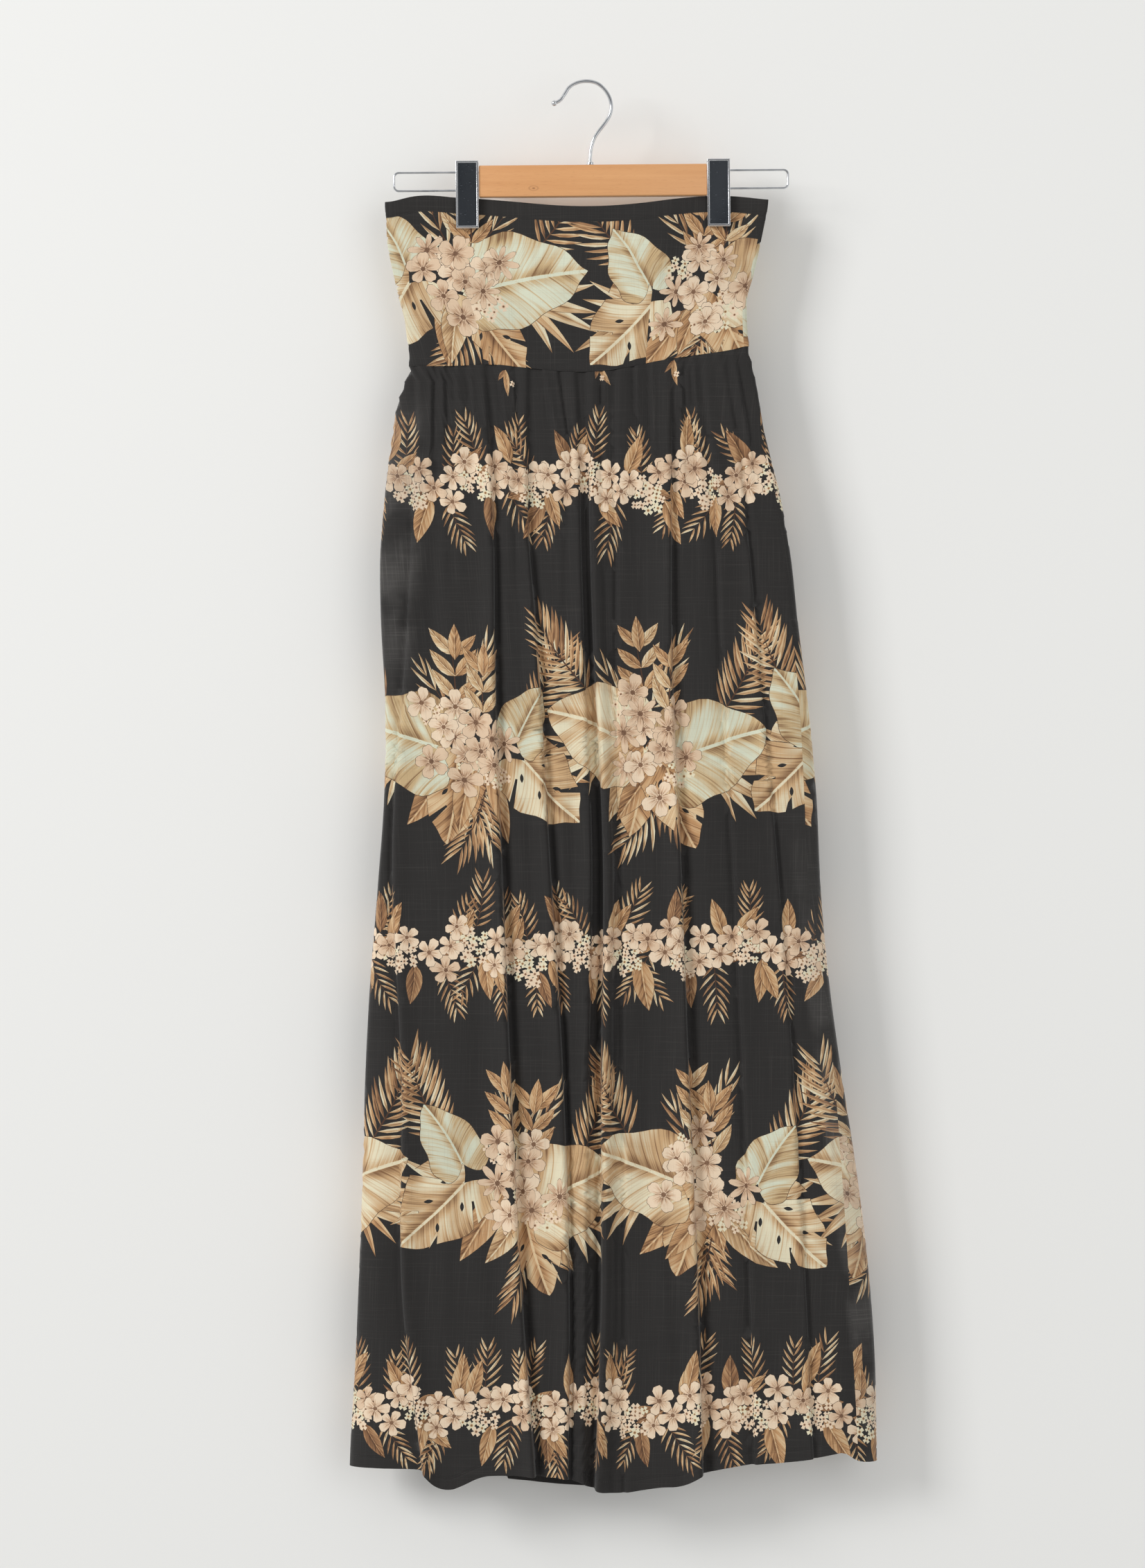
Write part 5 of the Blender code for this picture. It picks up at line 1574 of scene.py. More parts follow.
@dataclass(frozen=True)
class LeafShading:
    """Engraved light and dark of the print's leaves, from 0 for dark to 1 for light.

    ahead runs from a leaf's root to its tip, across is the distance from its midrib as a
    share of its width, side tells its two halves apart, and seed differs from leaf to leaf.
    """

    desk: Desk
    ahead: Value
    across: Value
    side: Value
    seed: Value

    def grain(self, along: Value, off: Value, detail: float = 2.0) -> Value:
        """Streaks that keep their place along one coordinate and fade along another."""
        return self.desk.noise(self.desk.vector(along, off, self.seed * 37.0), 1.0, detail)

    def pointed(self) -> Value:
        """A pointed leaf: pale midrib, side veins, one half in shade."""
        vein = self.ahead * 9.0 - self.across * 6.5
        streak = self.grain(vein * 1.5, self.across * 2.0).step(0.38, 0.62)
        fine = self.grain(vein * 6.5, self.across * 1.5).step(0.52, 0.64)
        rib = self.across.step(0.040, 0.016)
        beside = self.across.step(0.16, 0.03)
        shade = (1 - self.side) * 0.24 + beside * 0.20
        return 0.34 + self.across * 0.72 + streak * 0.34 - fine * 0.26 - shade + rib * 0.62

    def blade(self) -> Value:
        """A long blade: fine lines along it, one half bright."""
        fine = self.grain(self.across * 15.0, self.ahead * 2.2).step(0.46, 0.62)
        patch = self.grain(self.ahead * 2.4, self.across * 1.5, 1.0).step(0.38, 0.60)
        rib = self.across.step(0.05, 0.02)
        return 0.22 + self.side * 0.34 + patch * 0.42 - fine * 0.24 + self.across * 0.35 - rib * 0.25

    def broad(self) -> Value:
        """A heart-shaped leaf: ribs that curve to the edge, with cream and tan zones between."""
        rib = self.ahead * 7.0 - self.across * 6.4 + self.across * self.across * 4.0
        zone = self.grain(rib * 0.42 + self.side * 5.0, self.across * 0.9, 1.0).step(0.42, 0.56)
        streak = self.grain(rib * 2.6 + self.side * 9.0, self.across * 1.6).step(0.40, 0.60)
        fine = self.grain(rib * 9.0 + self.side * 9.0, self.across * 1.1).step(0.50, 0.60)
        line = abs(rib.part() - 0.5).step(0.07, 0.02)
        rim = self.across.step(0.26, 0.50)
        midrib = self.across.step(0.022, 0.010)
        beside = self.across.step(0.14, 0.015)
        body = 0.48 + zone * 0.46 + streak * 0.20 - rim * streak * 0.52
        return body - fine * (0.20 + rim * 0.12) - line * 0.32 - beside * 0.42 + midrib * 0.85


@dataclass(frozen=True)
class PrintedVoile:
    """Black voile with a flower and leaf print, a plain weave and stitched edges, and painted light along the
    skirt's sides where the pale wall would show through.

    Sizes are metres: thread is the weave's pitch, stitch_at the distance of the stitching
    from a free edge, and stitch its length.
    """

    name: str
    stitch_at: float
    plain_edge: bool = False
    painted_wall_glow: bool = False
    thread: float = 0.0009
    stitch: float = 0.0028
    roughness: float = 0.78

    def build(self) -> Finish:
        """Make the material."""
        desk = Desk(self.name)
        ahead, aside, _ = desk.split(desk.map("figure"))
        paint, bend, seed = desk.split(desk.attribute("style"))
        across = abs(aside - bend * ahead * ahead)
        side = (aside - bend * ahead * ahead).step(-0.02, 0.02)
        leaf = LeafShading(desk, ahead, across, side, seed)
        tone = leaf.pointed() * self.is_paint(paint, 1) + leaf.blade() * self.is_paint(paint, 2)
        tone = tone + leaf.broad() * self.is_paint(paint, 3)
        tone = tone + self.flower_tone(ahead, aside, bend, seed) * self.is_paint(paint, 4)
        tone = tone + self.floret_tone(ahead, aside) * self.is_paint(paint, 5)
        deep, middle, light = (desk.attribute(name, "Color") for name in ("deep", "middle", "light"))
        colour = desk.mix((tone * 2.0).clamp(), deep, middle)
        colour = desk.mix((tone * 2.0 - 1.0).clamp(), colour, light)
        if self.plain_edge:
            _, away, _ = desk.split(desk.map("edge"))
            plain = away.step(self.stitch_at + 0.0006, self.stitch_at - 0.0004)
            colour = desk.mix(plain, colour, Ink.CLOTH.value[0])
        threads = self.threads(desk)
        colour = desk.mix(threads * 0.16, colour, srgb(98, 94, 90))
        # Painted light: the sides are lightened towards pale grey where the wall's light would shine through
        # one sheer layer.
        if self.painted_wall_glow:
            colour = desk.mix(self.painted_wall_glow_mask(desk) * (0.20 + threads * 0.30), colour, srgb(122, 119, 116))
        faded = desk.noise(desk.map("pattern"), 14.0, 3.0).step(0.35, 0.75) * 0.14
        colour = desk.mix(faded, colour, srgb(30, 28, 27))
        desk.set(Base_Color=colour, Roughness=self.roughness, Sheen_Weight=0.18, Sheen_Roughness=0.4,
                 Specular_IOR_Level=0.32)
        desk.bump(self.weave(desk) * 0.35 + threads * 0.25 + self.stitching(desk) * 1.6, 0.0006, 0.55)
        return desk.material

    def painted_wall_glow_mask(self, desk: Desk) -> Value:
        """Painted light: a mask along both sides of the skirt, where one sheer layer alone lies over the pale
        wall and the wall's light would show through.
        """
        x, _, z = desk.split(desk.place())
        drop = 0.0 - z
        left = (0.0 - x - 0.153 - (drop - 0.27) * 0.066 - drop.step(0.45, 0.30) * 0.004).step(-0.012, 0.006)
        right = (x - 0.137 - (drop - 0.27) * 0.128).step(-0.006, 0.004)
        hazy = desk.noise(desk.place(), 22.0, 3.0).step(0.30, 0.62)
        return (left * drop.step(0.29, 0.36) * drop.step(0.66, 0.50) + right * drop.step(0.60, 1.05)) * hazy

    def is_paint(self, paint: Value, number: int) -> Value:
        """1 where a figure is filled in the given way, else 0."""
        return paint.desk.maths("COMPARE", paint, float(number), 0.5)

    def flower_tone(self, ahead: Value, aside: Value, petals: Value, seed: Value) -> Value:
        """Light and dark of a flower: dark heart with fine rays, petals parted by shade."""
        desk = ahead.desk
        away = (ahead * ahead + aside * aside) ** 0.5
        angle = desk.maths("ARCTAN2", aside, ahead)
        grain = desk.noise(desk.vector(ahead / (away + 0.02) * 11.0, aside / (away + 0.02) * 11.0,
                                       away * 1.4 + seed * 40.0), 1.0, 2.0)
        inner = away.step(0.86, 0.12)
        parting = abs((angle * petals * 0.5 + math.pi / 2).sine()).step(0.40, 0.03) * away.step(0.98, 0.45)
        middle = abs((angle * petals * 0.5).sine()).step(0.12, 0.02) * away.step(0.80, 0.30)
        heart = away.step(0.17, 0.11)
        beads = abs(away - 0.16).step(0.045, 0.015) * (angle * 9.0).sine().step(0.0, 0.6)
        beads = beads * seed.step(0.35, 0.45)
        rays = grain.step(0.44, 0.58)
        body = 1.14 - inner * (0.30 + rays * 0.62) - rays * 0.08
        return body - parting * 0.50 - middle * 0.22 - heart * 0.6 + beads * 1.2

    def floret_tone(self, ahead: Value, aside: Value) -> Value:
        """Light and dark of a tiny flower: a dark eye in pale petals."""
        away = (ahead * ahead + aside * aside) ** 0.5
        return away.step(0.08, 0.40) * 1.05 - away.step(0.80, 1.0) * 0.15

    def threads(self, desk: Desk) -> Value:
        """Uneven threads along both directions of the cloth."""
        pattern = desk.map("pattern")
        warp = desk.noise(desk.stretched(pattern, (900.0, 14.0, 1.0)), 1.0, 1.0)
        weft = desk.noise(desk.stretched(pattern, (16.0, 800.0, 1.0)), 1.0, 1.0)
        return (warp.step(0.50, 0.80) + weft.step(0.52, 0.82)) * 0.6

    def weave(self, desk: Desk) -> Value:
        """The plain weave's height."""
        u, up, _ = desk.split(desk.map("pattern"))
        turn = 2 * math.pi / self.thread
        return (u * turn).sine() * (up * turn).sine() * 0.5 + 0.5

    def stitching(self, desk: Desk) -> Value:
        """A line of stitches along the free edge, sunk where the thread pulls."""
        along, away, _ = desk.split(desk.map("edge"))
        line = abs(away - self.stitch_at).step(0.0007, 0.0003)
        dash = abs((along / self.stitch).part() - 0.5).step(0.44, 0.34)
        dent = abs(away - self.stitch_at).step(0.0030, 0.0)
        return line * dash * 0.9 - dent * 0.8


# ------------------------------------------------------------------ the hanger

def put(name: str, data: bpy.types.ID) -> Piece:
    """Set a mesh, a light or a camera in the scene."""
    thing = bpy.data.objects.new(name, data)
    bpy.context.scene.collection.objects.link(thing)
    return thing


def dress(piece: Piece, node: str, finish: Finish | None = None) -> Piece:
    """Give a piece its finish, hang it on the root body and hide the imported node that it stands for."""
    if finish:
        piece.data.materials.append(finish)
    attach(piece, "root")
    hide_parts(node)
    return piece


class Bench:
    """Hand modelling: primitives in millimetres, and edit tools on faces or edges that are picked."""

    @staticmethod
    def clear() -> None:
        """Deselect everything."""
        bpy.ops.object.select_all(action="DESELECT")

    @staticmethod
    def pick(piece: Piece) -> None:
        """Select one object alone."""
        Bench.clear()
        piece.select_set(True)
        bpy.context.view_layer.objects.active = piece

    @staticmethod
    def fix() -> None:
        """Carry the active object's place, turn and scale into its mesh."""
        bpy.ops.object.transform_apply(location=True, rotation=True, scale=True)

    @staticmethod
    def block(name: str, low: Sequence[float], high: Sequence[float]) -> Piece:
        """Add a block between two corners."""
        Bench.clear()
        middle = [(a + b) / 2 * MM for a, b in zip(low, high)]
        bpy.ops.mesh.primitive_cube_add(size=1.0, location=middle)
        piece = bpy.context.object
        piece.name = name
        piece.scale = [(b - a) * MM for a, b in zip(low, high)]
        Bench.fix()
        return piece

    @staticmethod
    def rod(name: str, centre: Triple, radius: float, length: float, along: str, sides: int) -> Piece:
        """Add a round rod along X or Z."""
        Bench.clear()
        turn = (0.0, math.pi / 2 if along == "X" else 0.0, 0.0)
        bpy.ops.mesh.primitive_cylinder_add(
            vertices=sides, radius=radius * MM, depth=length * MM,
            location=[v * MM for v in centre], rotation=turn,
        )
        piece = bpy.context.object
        piece.name = name
        Bench.fix()
        return piece

    @staticmethod
    def edit(piece: Piece, kind: str, test: Callable[[object], bool]) -> int:
        """Enter edit mode with the chosen faces or edges selected.

        Args:
            piece: the object.
            kind: FACE or EDGE.
            test: says whether a face or an edge is chosen.

        Returns:
            How many are chosen.
        """
        Bench.pick(piece)
        bpy.ops.object.mode_set(mode="EDIT")
        bpy.ops.mesh.select_mode(type=kind)
        bpy.ops.mesh.select_all(action="DESELECT")
        body = bmesh.from_edit_mesh(piece.data)
        chosen = [item for item in (body.faces if kind == "FACE" else body.edges) if test(item)]
        for item in chosen:
            item.select_set(True)
        body.select_flush_mode()
        bmesh.update_edit_mesh(piece.data)
        return len(chosen)

    @staticmethod
    def leave() -> None:
        """Leave edit mode."""
        bpy.ops.object.mode_set(mode="OBJECT")

    @staticmethod
    def bevel(piece: Piece, test: Callable[[object], bool], width: float, segments: int = 2) -> None:
        """Round the chosen edges."""
        if Bench.edit(piece, "EDGE", test):
            bpy.ops.mesh.bevel(offset=width * MM, offset_type="OFFSET", segments=segments, affect="EDGES")
        Bench.leave()

    @staticmethod
    def join(name: str, pieces: Sequence[Piece]) -> Piece:
        """Make one object of several."""
        Bench.clear()
        for piece in pieces:
            piece.select_set(True)
        bpy.context.view_layer.objects.active = pieces[0]
        bpy.ops.object.join()
        whole = bpy.context.object
        whole.name = name
        return whole

    @staticmethod
    def smooth(piece: Piece, angle: float = 35.0) -> None:
        """Shade smooth, with edges that turn more than an angle kept sharp."""
        Bench.pick(piece)
        bpy.ops.object.shade_smooth_by_angle(angle=math.radians(angle))

    @staticmethod
    def wire(name: str, route: Sequence[Spot], width: float, sides: int) -> Piece:
        """Draw round wire along (x, drop) points and turn it into a mesh."""
        Bench.clear()
        bpy.ops.curve.primitive_nurbs_path_add()
        piece = bpy.context.object
        piece.name = name
        curve = piece.data
        curve.splines.clear()
        spline = curve.splines.new("POLY")
        spline.points.add(len(route) - 1)
        for point, (x, drop) in zip(spline.points, route):
            point.co = (x * MM, 0.0, -drop * MM, 1.0)
        curve.bevel_depth = width / 2 * MM
        curve.bevel_resolution = sides
        curve.use_fill_caps = True
        bpy.ops.object.convert(target="MESH")
        return bpy.context.object


def is_outer_edge(edge: bmesh.types.BMEdge) -> bool:
    """Whether two faces meet at a clear angle in an edge."""
    return len(edge.link_faces) == 2 and edge.calc_face_angle() > math.radians(40)


@dataclass(frozen=True)
class HangerPlace:
    """Where the tilted bar, loops and clips lie: x and drop of the pivot, and the tilt in degrees."""

    pivot: Spot = (3.5, 80.6)
    tilt: float = 0.48

    def settle(self, piece: Piece) -> None:
        """Carry a piece from the pivot's own axes to its place."""
        Bench.pick(piece)
        piece.location = (self.pivot[0] * MM, 0.0, -self.pivot[1] * MM)
        piece.rotation_euler = (0.0, -math.radians(self.tilt), 0.0)
        Bench.fix()


@dataclass(frozen=True)
class LacqueredWood:
    """Pale beech under a satin lacquer; the grain runs along X."""

    name: str = "lacquered_beech"
    roughness: float = 0.42

    def build(self) -> Finish:
        """Make the material."""
        desk = Desk(self.name)
        place = desk.place()
        waves = desk.noise(desk.stretched(place, (5.0, 60.0, 60.0)), 1.0, 2.0)
        bands = desk.noise(desk.stretched(place, (9.0, 260.0, 260.0)), 1.0, 3.0)
        pores = desk.noise(desk.stretched(place, (110.0, 1700.0, 1700.0)), 1.0, 1.0)
        rays = desk.noise(desk.stretched(place, (420.0, 900.0, 900.0)), 1.0, 1.0)
        x, _, z = desk.split(place)
        knot = ((x + 0.052) * (x + 0.052) * 0.25 + (z + 0.104) * (z + 0.104)) ** 0.5
        ring = (knot * 2400.0 + waves * 6.0).sine() * knot.step(0.0050, 0.0010)
        colour = desk.mix((waves * 0.9 + bands * 0.5 - 0.2).clamp(), srgb(208, 146, 92), srgb(232, 176, 122))
        specks = pores.step(0.60, 0.78) * 0.30 + rays.step(0.66, 0.80) * 0.14
        colour = desk.mix(specks, colour, srgb(176, 116, 70))
        colour = desk.mix((ring * 0.35 + knot.step(0.0016, 0.0006) * 0.7).clamp(), colour, srgb(126, 78, 45))
        desk.set(Base_Color=colour, Roughness=desk.noise(place, 90.0, 2.0) * 0.12 + self.roughness - 0.06,
                 Coat_Weight=0.35, Coat_Roughness=0.22, Specular_IOR_Level=0.4)
        desk.bump(pores * 0.5 + bands * 0.4, 0.0002, 0.35)
        return desk.material


@dataclass(frozen=True)
class Chrome:
    """Chrome on steel, with faint hazy streaks and tiny scratches.

    tint is the metal's colour; along stretches the streaks.
    """

    name: str
    tint: Triple = srgb(196, 199, 204)
    streak: Triple = srgb(150, 154, 160)
    roughness: float = 0.12
    along: Triple = (60.0, 60.0, 14.0)

    def build(self) -> Finish:
        """Make the material."""
        desk = Desk(self.name)
        place = desk.place()
        haze = desk.noise(desk.stretched(place, self.along), 1.0, 3.0)
        scratch = desk.noise(desk.stretched(place, (240.0, 900.0, 1500.0)), 1.0, 1.0).step(0.70, 0.78)
        desk.set(Base_Color=desk.mix(haze.step(0.35, 0.75), self.tint, self.streak), Metallic=1.0,
                 Roughness=haze * 0.10 + scratch * 0.12 + self.roughness)
        desk.bump(haze * 0.6 + scratch * 0.3, 0.00012, 0.3)
        return desk.material


@dataclass(frozen=True)
class GripPad:
    """Dark rubber pads inside the clips' lips."""

    name: str = "grip_rubber"

    def build(self) -> Finish:
        """Make the material."""
        desk = Desk(self.name)
        grain = desk.noise(desk.place(), 1400.0, 2.0)
        desk.set(Base_Color=desk.mix(grain, srgb(38, 38, 40), srgb(58, 58, 60)), Roughness=0.7)
        desk.bump(grain, 0.0002, 0.5)
        return desk.material


@dataclass(frozen=True)
class HangerBar:
    """Wooden bar with rounded edges."""

    place: HangerPlace = HangerPlace()
    start: float = -109.2
    length: float = 223.4
    height: float = 31.0
    thickness: float = 12.0
    edge: float = 1.6
    end_edge: float = 0.9

    def build(self, finish: Finish) -> Piece:
        """Shape and dress the bar."""
        half = self.thickness / 2
        end = self.start + self.length
        bar = Bench.block("hanger_bar_wood", (self.start, -half, -self.height), (end, half, 0.0))
        Bench.bevel(bar, lambda edge: abs(edge.verts[0].co.x - edge.verts[1].co.x) > 0.1, self.edge, 4)
        Bench.bevel(bar, lambda edge: is_outer_edge(edge) and all(
            min(abs(v.co.x - self.start * MM), abs(v.co.x - end * MM)) < 1e-6 for v in edge.verts
        ), self.end_edge, 3)
        Bench.smooth(bar)
        self.place.settle(bar)
        return dress(bar, "hanger_bar", finish)


@dataclass(frozen=True)
class WireHook:
    """Hook of round wire, with a ball at its tip and a turned collar on the bar."""

    width: float = 3.6
    ball: float = 5.8
    collar: float = 7.0
    collar_length: float = 3.2
    shank: float = 3.5
    foot: float = 80.6
    route: tuple[Spot, ...] = (
        (-32.8, 20.2), (-26.2, 16.9), (-21.6, 10.8), (-17.1, 4.1), (-9.5, -0.4), (-0.3, -2.0), (10.3, 0.2),
        (18.8, 7.8), (23.3, 16.9), (24.2, 24.5), (22.4, 32.0), (17.8, 39.6), (11.8, 47.3), (7.2, 54.8),
        (4.8, 62.4), (3.6, 71.5), (3.5, 80.3),
    )

    def build(self, finish: Finish) -> Piece:
        """Bend the wire, add its ball and collar, and dress it."""
        points = np.array(self.route)
        lengths = np.concatenate(((0.0,), np.cumsum(np.linalg.norm(np.diff(points, axis=0), axis=1))))
        where = np.linspace(0.0, lengths[-1], 110)
        route = list(zip(*(smooth_between(where, lengths, points[:, axis]) for axis in range(2))))
        wire = Bench.wire("hook_wire", route, self.width, 8)
        Bench.clear()
        tip = self.route[0]
        bpy.ops.mesh.primitive_uv_sphere_add(
            segments=28, ring_count=18, radius=self.ball / 2 * MM,
            location=((tip[0] + 1.0) * MM, 0.0, -(tip[1] - 0.5) * MM),
        )
        ball = bpy.context.object
        Bench.fix()
        collar = Bench.rod("collar", (self.shank, 0.0, -self.foot + self.collar_length / 2 + 0.05),
                           self.collar / 2, self.collar_length, "Z", 40)
        Bench.bevel(collar, is_outer_edge, 0.8, 3)
        seat = Bench.rod("seat", (self.shank, 0.0, -self.foot + 0.35), self.collar / 2 + 1.0, 0.7, "Z", 40)
        Bench.bevel(seat, is_outer_edge, 0.25, 2)
        whole = Bench.join("hook_wire", [wire, ball, collar, seat])
        Bench.smooth(whole, 40.0)
        return dress(whole, "hook", finish)


@dataclass(frozen=True)
class SideLoop:
    """Wire loop that slides out of one end of the bar; reach is where it turns back."""

    name: str
    bar_end: float
    reach: float
    place: HangerPlace = HangerPlace()
    width: float = 2.2
    upper: float = 6.0
    lower: float = 23.8
    corner: float = 4.5
    inside: float = 1.5

    def build(self, finish: Finish) -> Piece:
        """Bend the loop out along the upper run, round two corners and back, and dress it."""
        side = 1 if self.reach > 0 else -1
        start = self.bar_end - side * self.inside
        route = [(start, self.upper)]
        for centre, first in ((self.upper + self.corner, -90), (self.lower - self.corner, 0)):
            for step in range(9):
                turn = math.radians(first + 90 * step / 8)
                route.append((self.reach - side * self.corner + side * self.corner * math.cos(turn),
                              centre + self.corner * math.sin(turn)))
        route.append((start, self.lower))
        loop = Bench.wire(self.name + "_wire", route, self.width, 6)
        Bench.smooth(loop, 50.0)
        self.place.settle(loop)
        return dress(loop, self.name, finish)


@dataclass(frozen=True)
class SpringClip:
    """Two pressed plates that hinge on a pin with a coil spring, and grip the cloth at their foot.

    Sizes are millimetres: above and length run from the bar's upper edge, plate is the metal's
    thickness, rim and recess shape the sunk face, and lip_reach is where the lip ends.
    """

    place: HangerPlace = HangerPlace()
    width: float = 22.2
    above: float = 4.5
    length: float = 65.7
    half_depth: float = 7.6
    plate: float = 1.1
    rim: float = 1.7
    recess: float = 0.5
    flange: float = 4.2
    lip: float = 4.0
    lip_reach: float = 2.05
    pad: float = 1.3
    pin_drop: float = 14.9
    pin: float = 1.5
    coil: float = 3.2
    coil_wire: float = 0.55

    def build(self) -> Piece:
        """Shape one plate, copy it for the back, and add the pin, the spring and the pads."""
        parts = []
        for side in (-1, 1):
            parts.extend(self.make_plate(side))
        parts.append(Bench.rod("pin", (0.0, 0.0, -self.pin_drop), self.pin, self.width - 1.4, "X", 24))
        Bench.bevel(parts[-1], is_outer_edge, 0.4, 2)
        parts.extend(self.make_spring())
        whole = Bench.join("clip", parts)
        Bench.smooth(whole)
        return whole

    def make_plate(self, side: int) -> list[Piece]:
        """One plate with its sunk face, its side flanges, its lip and its pad."""
        half = self.width / 2
        foot = self.above - self.length
        outer = side * self.half_depth
        inner = side * (self.half_depth - self.plate)
        plate = self.slab("plate", half, (inner, outer), (foot, self.above))
        Bench.edit(plate, "FACE", lambda face: face.normal.y * side > 0.9)
        bpy.ops.mesh.inset(thickness=self.rim * MM, depth=0.0, use_boundary=True)
        bpy.ops.mesh.inset(thickness=0.35 * MM, depth=-self.recess * MM, use_boundary=True)
        Bench.leave()
        # The sunk face takes the chrome painted darker, which stands in for a dark reflection.
        for name in ("chrome_edges", "chrome_face_painted_dark_reflection"):
            plate.data.materials.append(bpy.data.materials[name])
        sunk = (outer - side * self.recess) * MM
        for polygon in plate.data.polygons:
            polygon.material_index = int(abs(polygon.center.y - sunk) < 1e-5)
        Bench.bevel(plate, lambda edge: is_outer_edge(edge) and all(
            abs(v.co.y - outer * MM) < 1e-6 for v in edge.verts), 0.3, 2)
        parts = [plate]
        for low in (-half, half - self.plate):
            near, far = sorted((inner, side * (self.half_depth - self.flange)))
            corner = (low + self.plate, far, self.above - 3.0)
            flange = Bench.block("flange", (low, near, foot + 6.0), corner)
            Bench.bevel(flange, is_outer_edge, 0.3, 2)
            parts.append(flange)
        lip, pad = side * self.lip_reach, side * (self.lip_reach + self.pad)
        top = foot + self.lip
        parts.append(self.slab("lip", half - 0.2, (inner, lip), (foot, foot + self.plate), (0.35, 3)))
        parts.append(self.slab("pad", half - 0.8, (lip, pad), (foot + self.plate, top), (0.3, 2)))
        parts[-1].data.materials.append(bpy.data.materials["grip_rubber"])
        parts.append(self.slab("brace", half - 1.2, (pad, inner), (top - 0.9, top), (0.2, 2)))
        return parts

    def slab(self, name: str, half: float, depth: Spot, height: Spot,
             edge: tuple[float, int] | None = None) -> Piece:
        """A block across the clip, with its edges rounded where a width and a number of steps are given."""
        near, far = sorted(depth)
        block = Bench.block(name, (-half, near, height[0]), (half, far, height[1]))
        if edge:
            Bench.bevel(block, is_outer_edge, *edge)
        return block

    def make_spring(self) -> list[Piece]:
        """Coils round the pin: one is modelled and the rest are its copies."""
        turns = 9
        Bench.clear()
        bpy.ops.mesh.primitive_torus_add(
            location=(-turns * 0.62 * MM, 0.0, -self.pin_drop * MM), rotation=(0.0, math.radians(86), 0.0),
            major_radius=self.coil * MM, minor_radius=self.coil_wire * MM,
            major_segments=28, minor_segments=8,
        )
        first = bpy.context.object
        Bench.fix()
        coils = [first]
        for number in range(1, turns):
            Bench.pick(first)
            bpy.ops.object.duplicate()
            copy = bpy.context.object
            copy.location.x = number * 1.24 * MM
            Bench.fix()
            coils.append(copy)
        return coils

    def set_up(self, clip: Piece, side: str, centre: float) -> Piece:
        """Copy the modelled clip to one end of the bar."""
        Bench.pick(clip)
        bpy.ops.object.duplicate()
        copy = bpy.context.object
        copy.name = "clip_" + side + "_steel"
        copy.location.x = centre * MM
        Bench.fix()
        self.place.settle(copy)
        return dress(copy, "clip_" + side)


@dataclass(frozen=True)
class ClipHanger:
    """The clip hanger: bar, hook, two side loops and two clips."""

    bar: HangerBar = HangerBar()
    hook: WireHook = WireHook()
    clip: SpringClip = SpringClip()
    reaches: Spot = (-192.5, 193.9)
    clip_gap: float = 0.5

    def build(self) -> None:
        """Build and dress every piece."""
        wood = LacqueredWood().build()
        wire = Chrome("chrome_wire", srgb(226, 228, 231), srgb(188, 191, 196)).build()
        Chrome("chrome_edges", srgb(232, 233, 235), srgb(206, 208, 212), 0.2).build()
        # The clips' sunk faces get a darker copy of the chrome: a painted dark reflection, not a different
        # metal.
        Chrome("chrome_face_painted_dark_reflection", srgb(154, 160, 168), srgb(112, 118, 127), 0.16, (30.0, 30.0, 9.0)).build()
        GripPad().build()
        self.bar.build(wood)
        self.hook.build(wire)
        ends = (self.bar.start, self.bar.start + self.bar.length)
        for side, end, reach in zip(("left", "right"), ends, self.reaches):
            SideLoop("wire_loop_" + side, end, reach).build(wire)
        clip = self.clip.build()
        reach = self.clip_gap + self.clip.width / 2
        for side, centre in (("left", ends[0] - reach), ("right", ends[1] + reach)):
            self.clip.set_up(clip, side, centre)
        bpy.data.objects.remove(clip)
        LOG.info("hanger: bar, hook, loops and clips")


# ------------------------------------------------------------------ stage

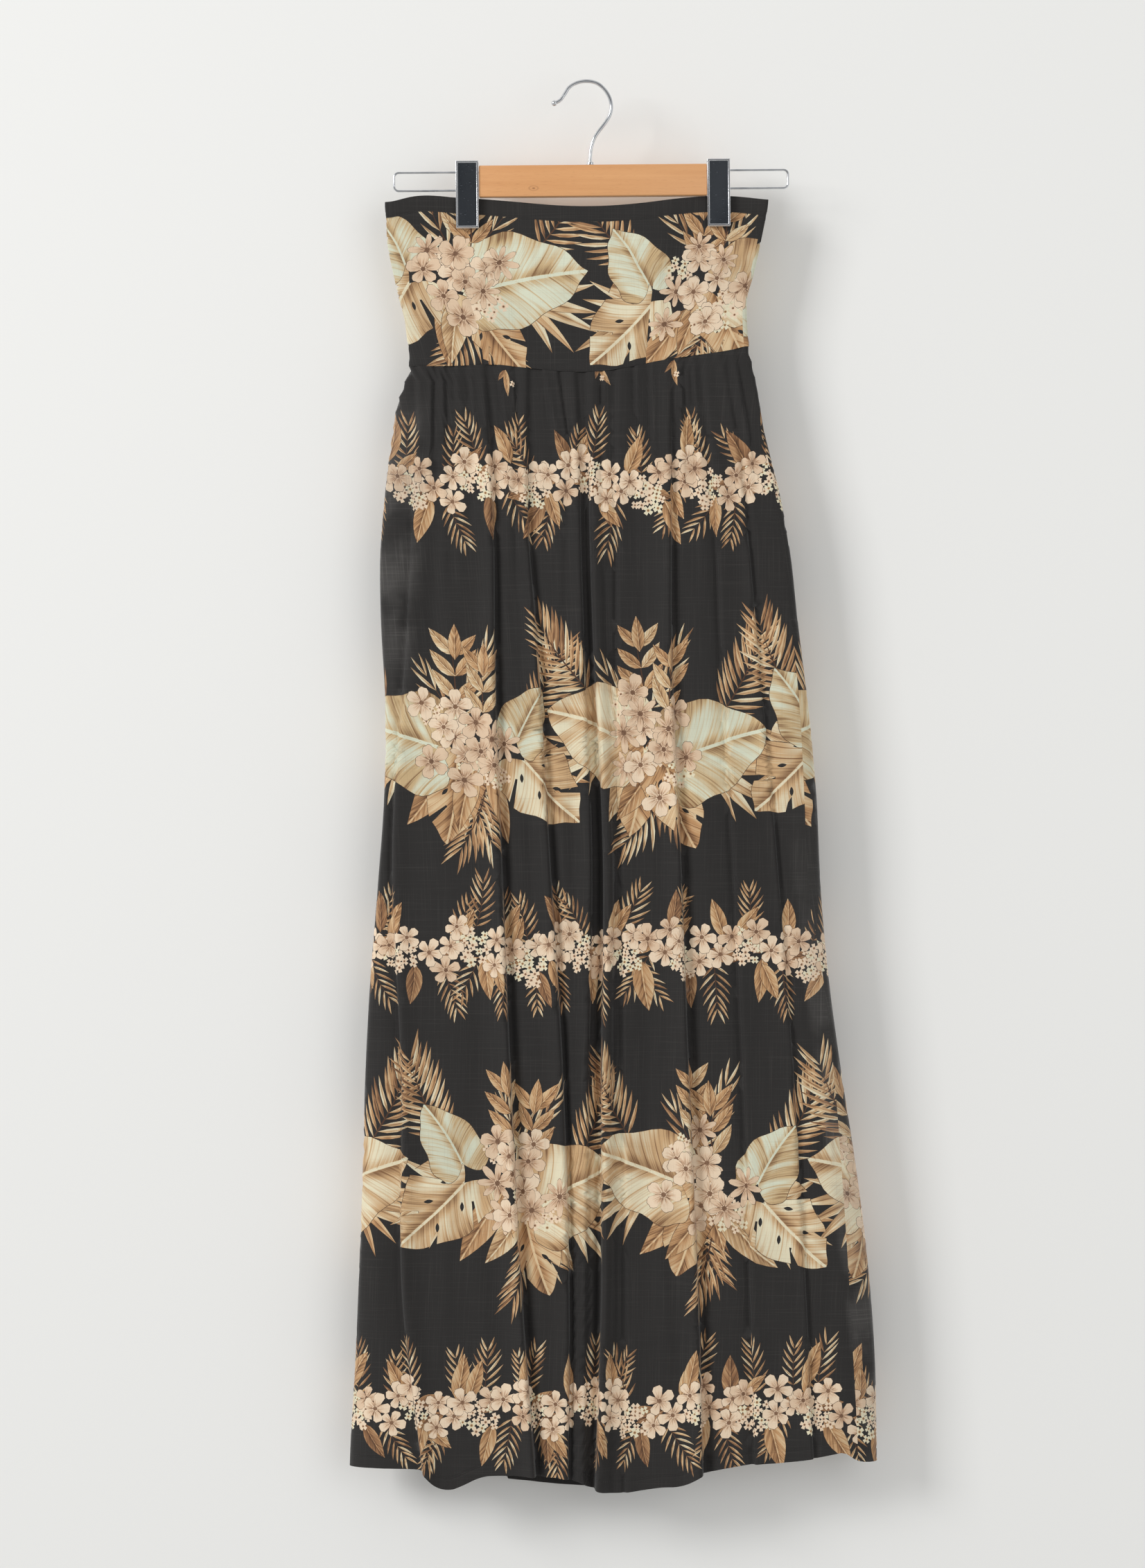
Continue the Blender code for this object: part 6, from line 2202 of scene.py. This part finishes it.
@dataclass(frozen=True)
class Studio:
    """Pale wall, soft lights and the camera of a straight front view.

    Sizes are metres: the camera looks level at the middle of the picture, and view_height
    is what it takes in at the dress.
    """

    centre: Spot = (-0.0139, -0.6878)
    distance: float = 4.2
    view_height: float = 1.5388
    wall_y: float = 0.050
    wall: float = 6.0
    air: float = 0.62
    lamps: tuple[tuple[str, Triple, float, float], ...] = (
        ("window", (-4.6, -3.7, 1.7), 2.1, 200.0), ("front_fill", (1.9, -3.6, -0.2), 2.4, 24.0),
        ("back_left", (-2.4, 2.8, 0.6), 1.8, 42.0), ("back_right", (2.2, 2.8, 0.2), 1.8, 30.0),
    )

    def build(self) -> None:
        """Make the wall, the lights, the air and the camera."""
        self.make_wall()
        self.make_flag()
        for lamp in self.lamps:
            self.make_light(*lamp)
        world = bpy.data.worlds.new("pale_air")
        world.use_nodes = True
        air = world.node_tree.nodes["Background"].inputs
        air["Color"].default_value = (0.90, 0.90, 0.89, 1.0)
        air["Strength"].default_value = self.air
        bpy.context.scene.world = world
        bpy.context.scene.view_settings.view_transform = "Standard"
        self.make_camera()

    def make_screen(self, name: str, low: Spot, high: Spot, y: float, finish: Finish) -> Piece:
        """An upright screen between two corners, each given as x and z from the picture's middle."""
        (left, foot), (right, top) = (tuple(np.add(self.centre, corner)) for corner in (low, high))
        mesh = bpy.data.meshes.new(name)
        corners = [(left, y, foot), (right, y, foot), (right, y, top), (left, y, top)]
        mesh.from_pydata(corners, [], [(0, 1, 2, 3)])
        mesh.materials.append(finish)
        screen = put(name, mesh)
        return screen

    def make_wall(self) -> None:
        """A pale wall that shows from its front alone, so that the back view is free."""
        half = self.wall / 2
        desk = Desk("pale_paint")
        desk.set(Base_Color=(0.86, 0.86, 0.845), Roughness=0.9)
        behind = desk.add("NewGeometry").outputs["Backfacing"]
        shadow = desk.add("LightPath").outputs["Is Shadow Ray"]
        clear = desk.maths("MAXIMUM", Value(desk, behind), Value(desk, shadow))
        see_through = desk.add("BsdfTransparent")
        mix = desk.add("MixShader", {
            0: clear, 1: desk.shader.outputs["BSDF"], 2: see_through.outputs["BSDF"],
        })
        desk.tree.links.new(mix.outputs[0], desk.tree.nodes["Material Output"].inputs["Surface"])
        self.make_screen("wall", (-half, -half), (half, half), self.wall_y, desk.material)

    def make_flag(self) -> None:
        """A dark screen in front that only the polished metal sees."""
        desk = Desk("screen_black")
        desk.set(Base_Color=(0.05, 0.052, 0.056), Roughness=1.0)
        flag = self.make_screen("dark_screen", (-0.9, -0.2), (1.5, 1.7), -3.0, desk.material)
        flag.visible_camera = flag.visible_diffuse = flag.visible_shadow = False

    def make_light(self, name: str, place: Triple, size: float, power: float) -> None:
        """An area light that faces the middle of the dress."""
        light = bpy.data.lights.new(name, "AREA")
        light.shape = "SQUARE"
        light.size = size
        light.energy = power
        lamp = put(name, light)
        target = np.array((self.centre[0], 0.0, self.centre[1]))
        away = np.array(place) - target
        lamp.location = place
        flat = math.hypot(away[0], away[1])
        lamp.rotation_euler = (math.atan2(flat, away[2]), 0.0, math.atan2(away[0], -away[1]))

    def make_camera(self) -> None:
        """A level camera straight in front."""
        data = bpy.data.cameras.new("front")
        data.sensor_width = 36.0
        data.lens = data.sensor_width * self.distance / self.view_height
        camera = put("front", data)
        camera.location = (self.centre[0], -self.distance, self.centre[1])
        camera.rotation_euler = (math.pi / 2, 0.0, 0.0)
        bpy.context.scene.camera = camera


# ------------------------------------------------------------------ the whole

@dataclass(frozen=True)
class Dress:
    """The four cloth pieces of the dress."""

    form: TubeForm = TubeForm()

    def build(self) -> None:
        """Cut, print and hang every piece."""
        maker = PatternMaker(self.form)
        cutter = ClothCutter()
        layout = PrintLayout()
        bodice_front, bodice_back = maker.bodice()
        skirt_front, skirt_back = maker.skirt()
        bodice_cloth = PrintedVoile("printed_voile_bodice", maker.casing * MM, True).build()
        # The skirt's sides get painted light from the wall showing through the sheer cloth.
        skirt_cloth = PrintedVoile("printed_voile_skirt", maker.hem * MM, painted_wall_glow=True).build()
        for grid, node, figures, cloth in (
            (bodice_front, "bodice_front", layout.bodice(11, BODICE_FRONT_BOUQUETS), bodice_cloth),
            (bodice_back, "bodice_back", layout.bodice(12, BODICE_BACK_BOUQUETS), bodice_cloth),
            (skirt_front, "skirt_front", layout.skirt(21, FRONT_BOUQUETS), skirt_cloth),
            (skirt_back, "skirt_back", layout.skirt(22, BACK_BOUQUETS), skirt_cloth),
        ):
            dress(cutter.make(grid, figures), node, cloth)


def main() -> None:
    """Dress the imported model, light it and set the camera."""
    logging.basicConfig(level=logging.INFO, format="%(message)s")
    ClipHanger().build()
    Dress().build()
    Studio().build()


if __name__ == "__main__":
    main()
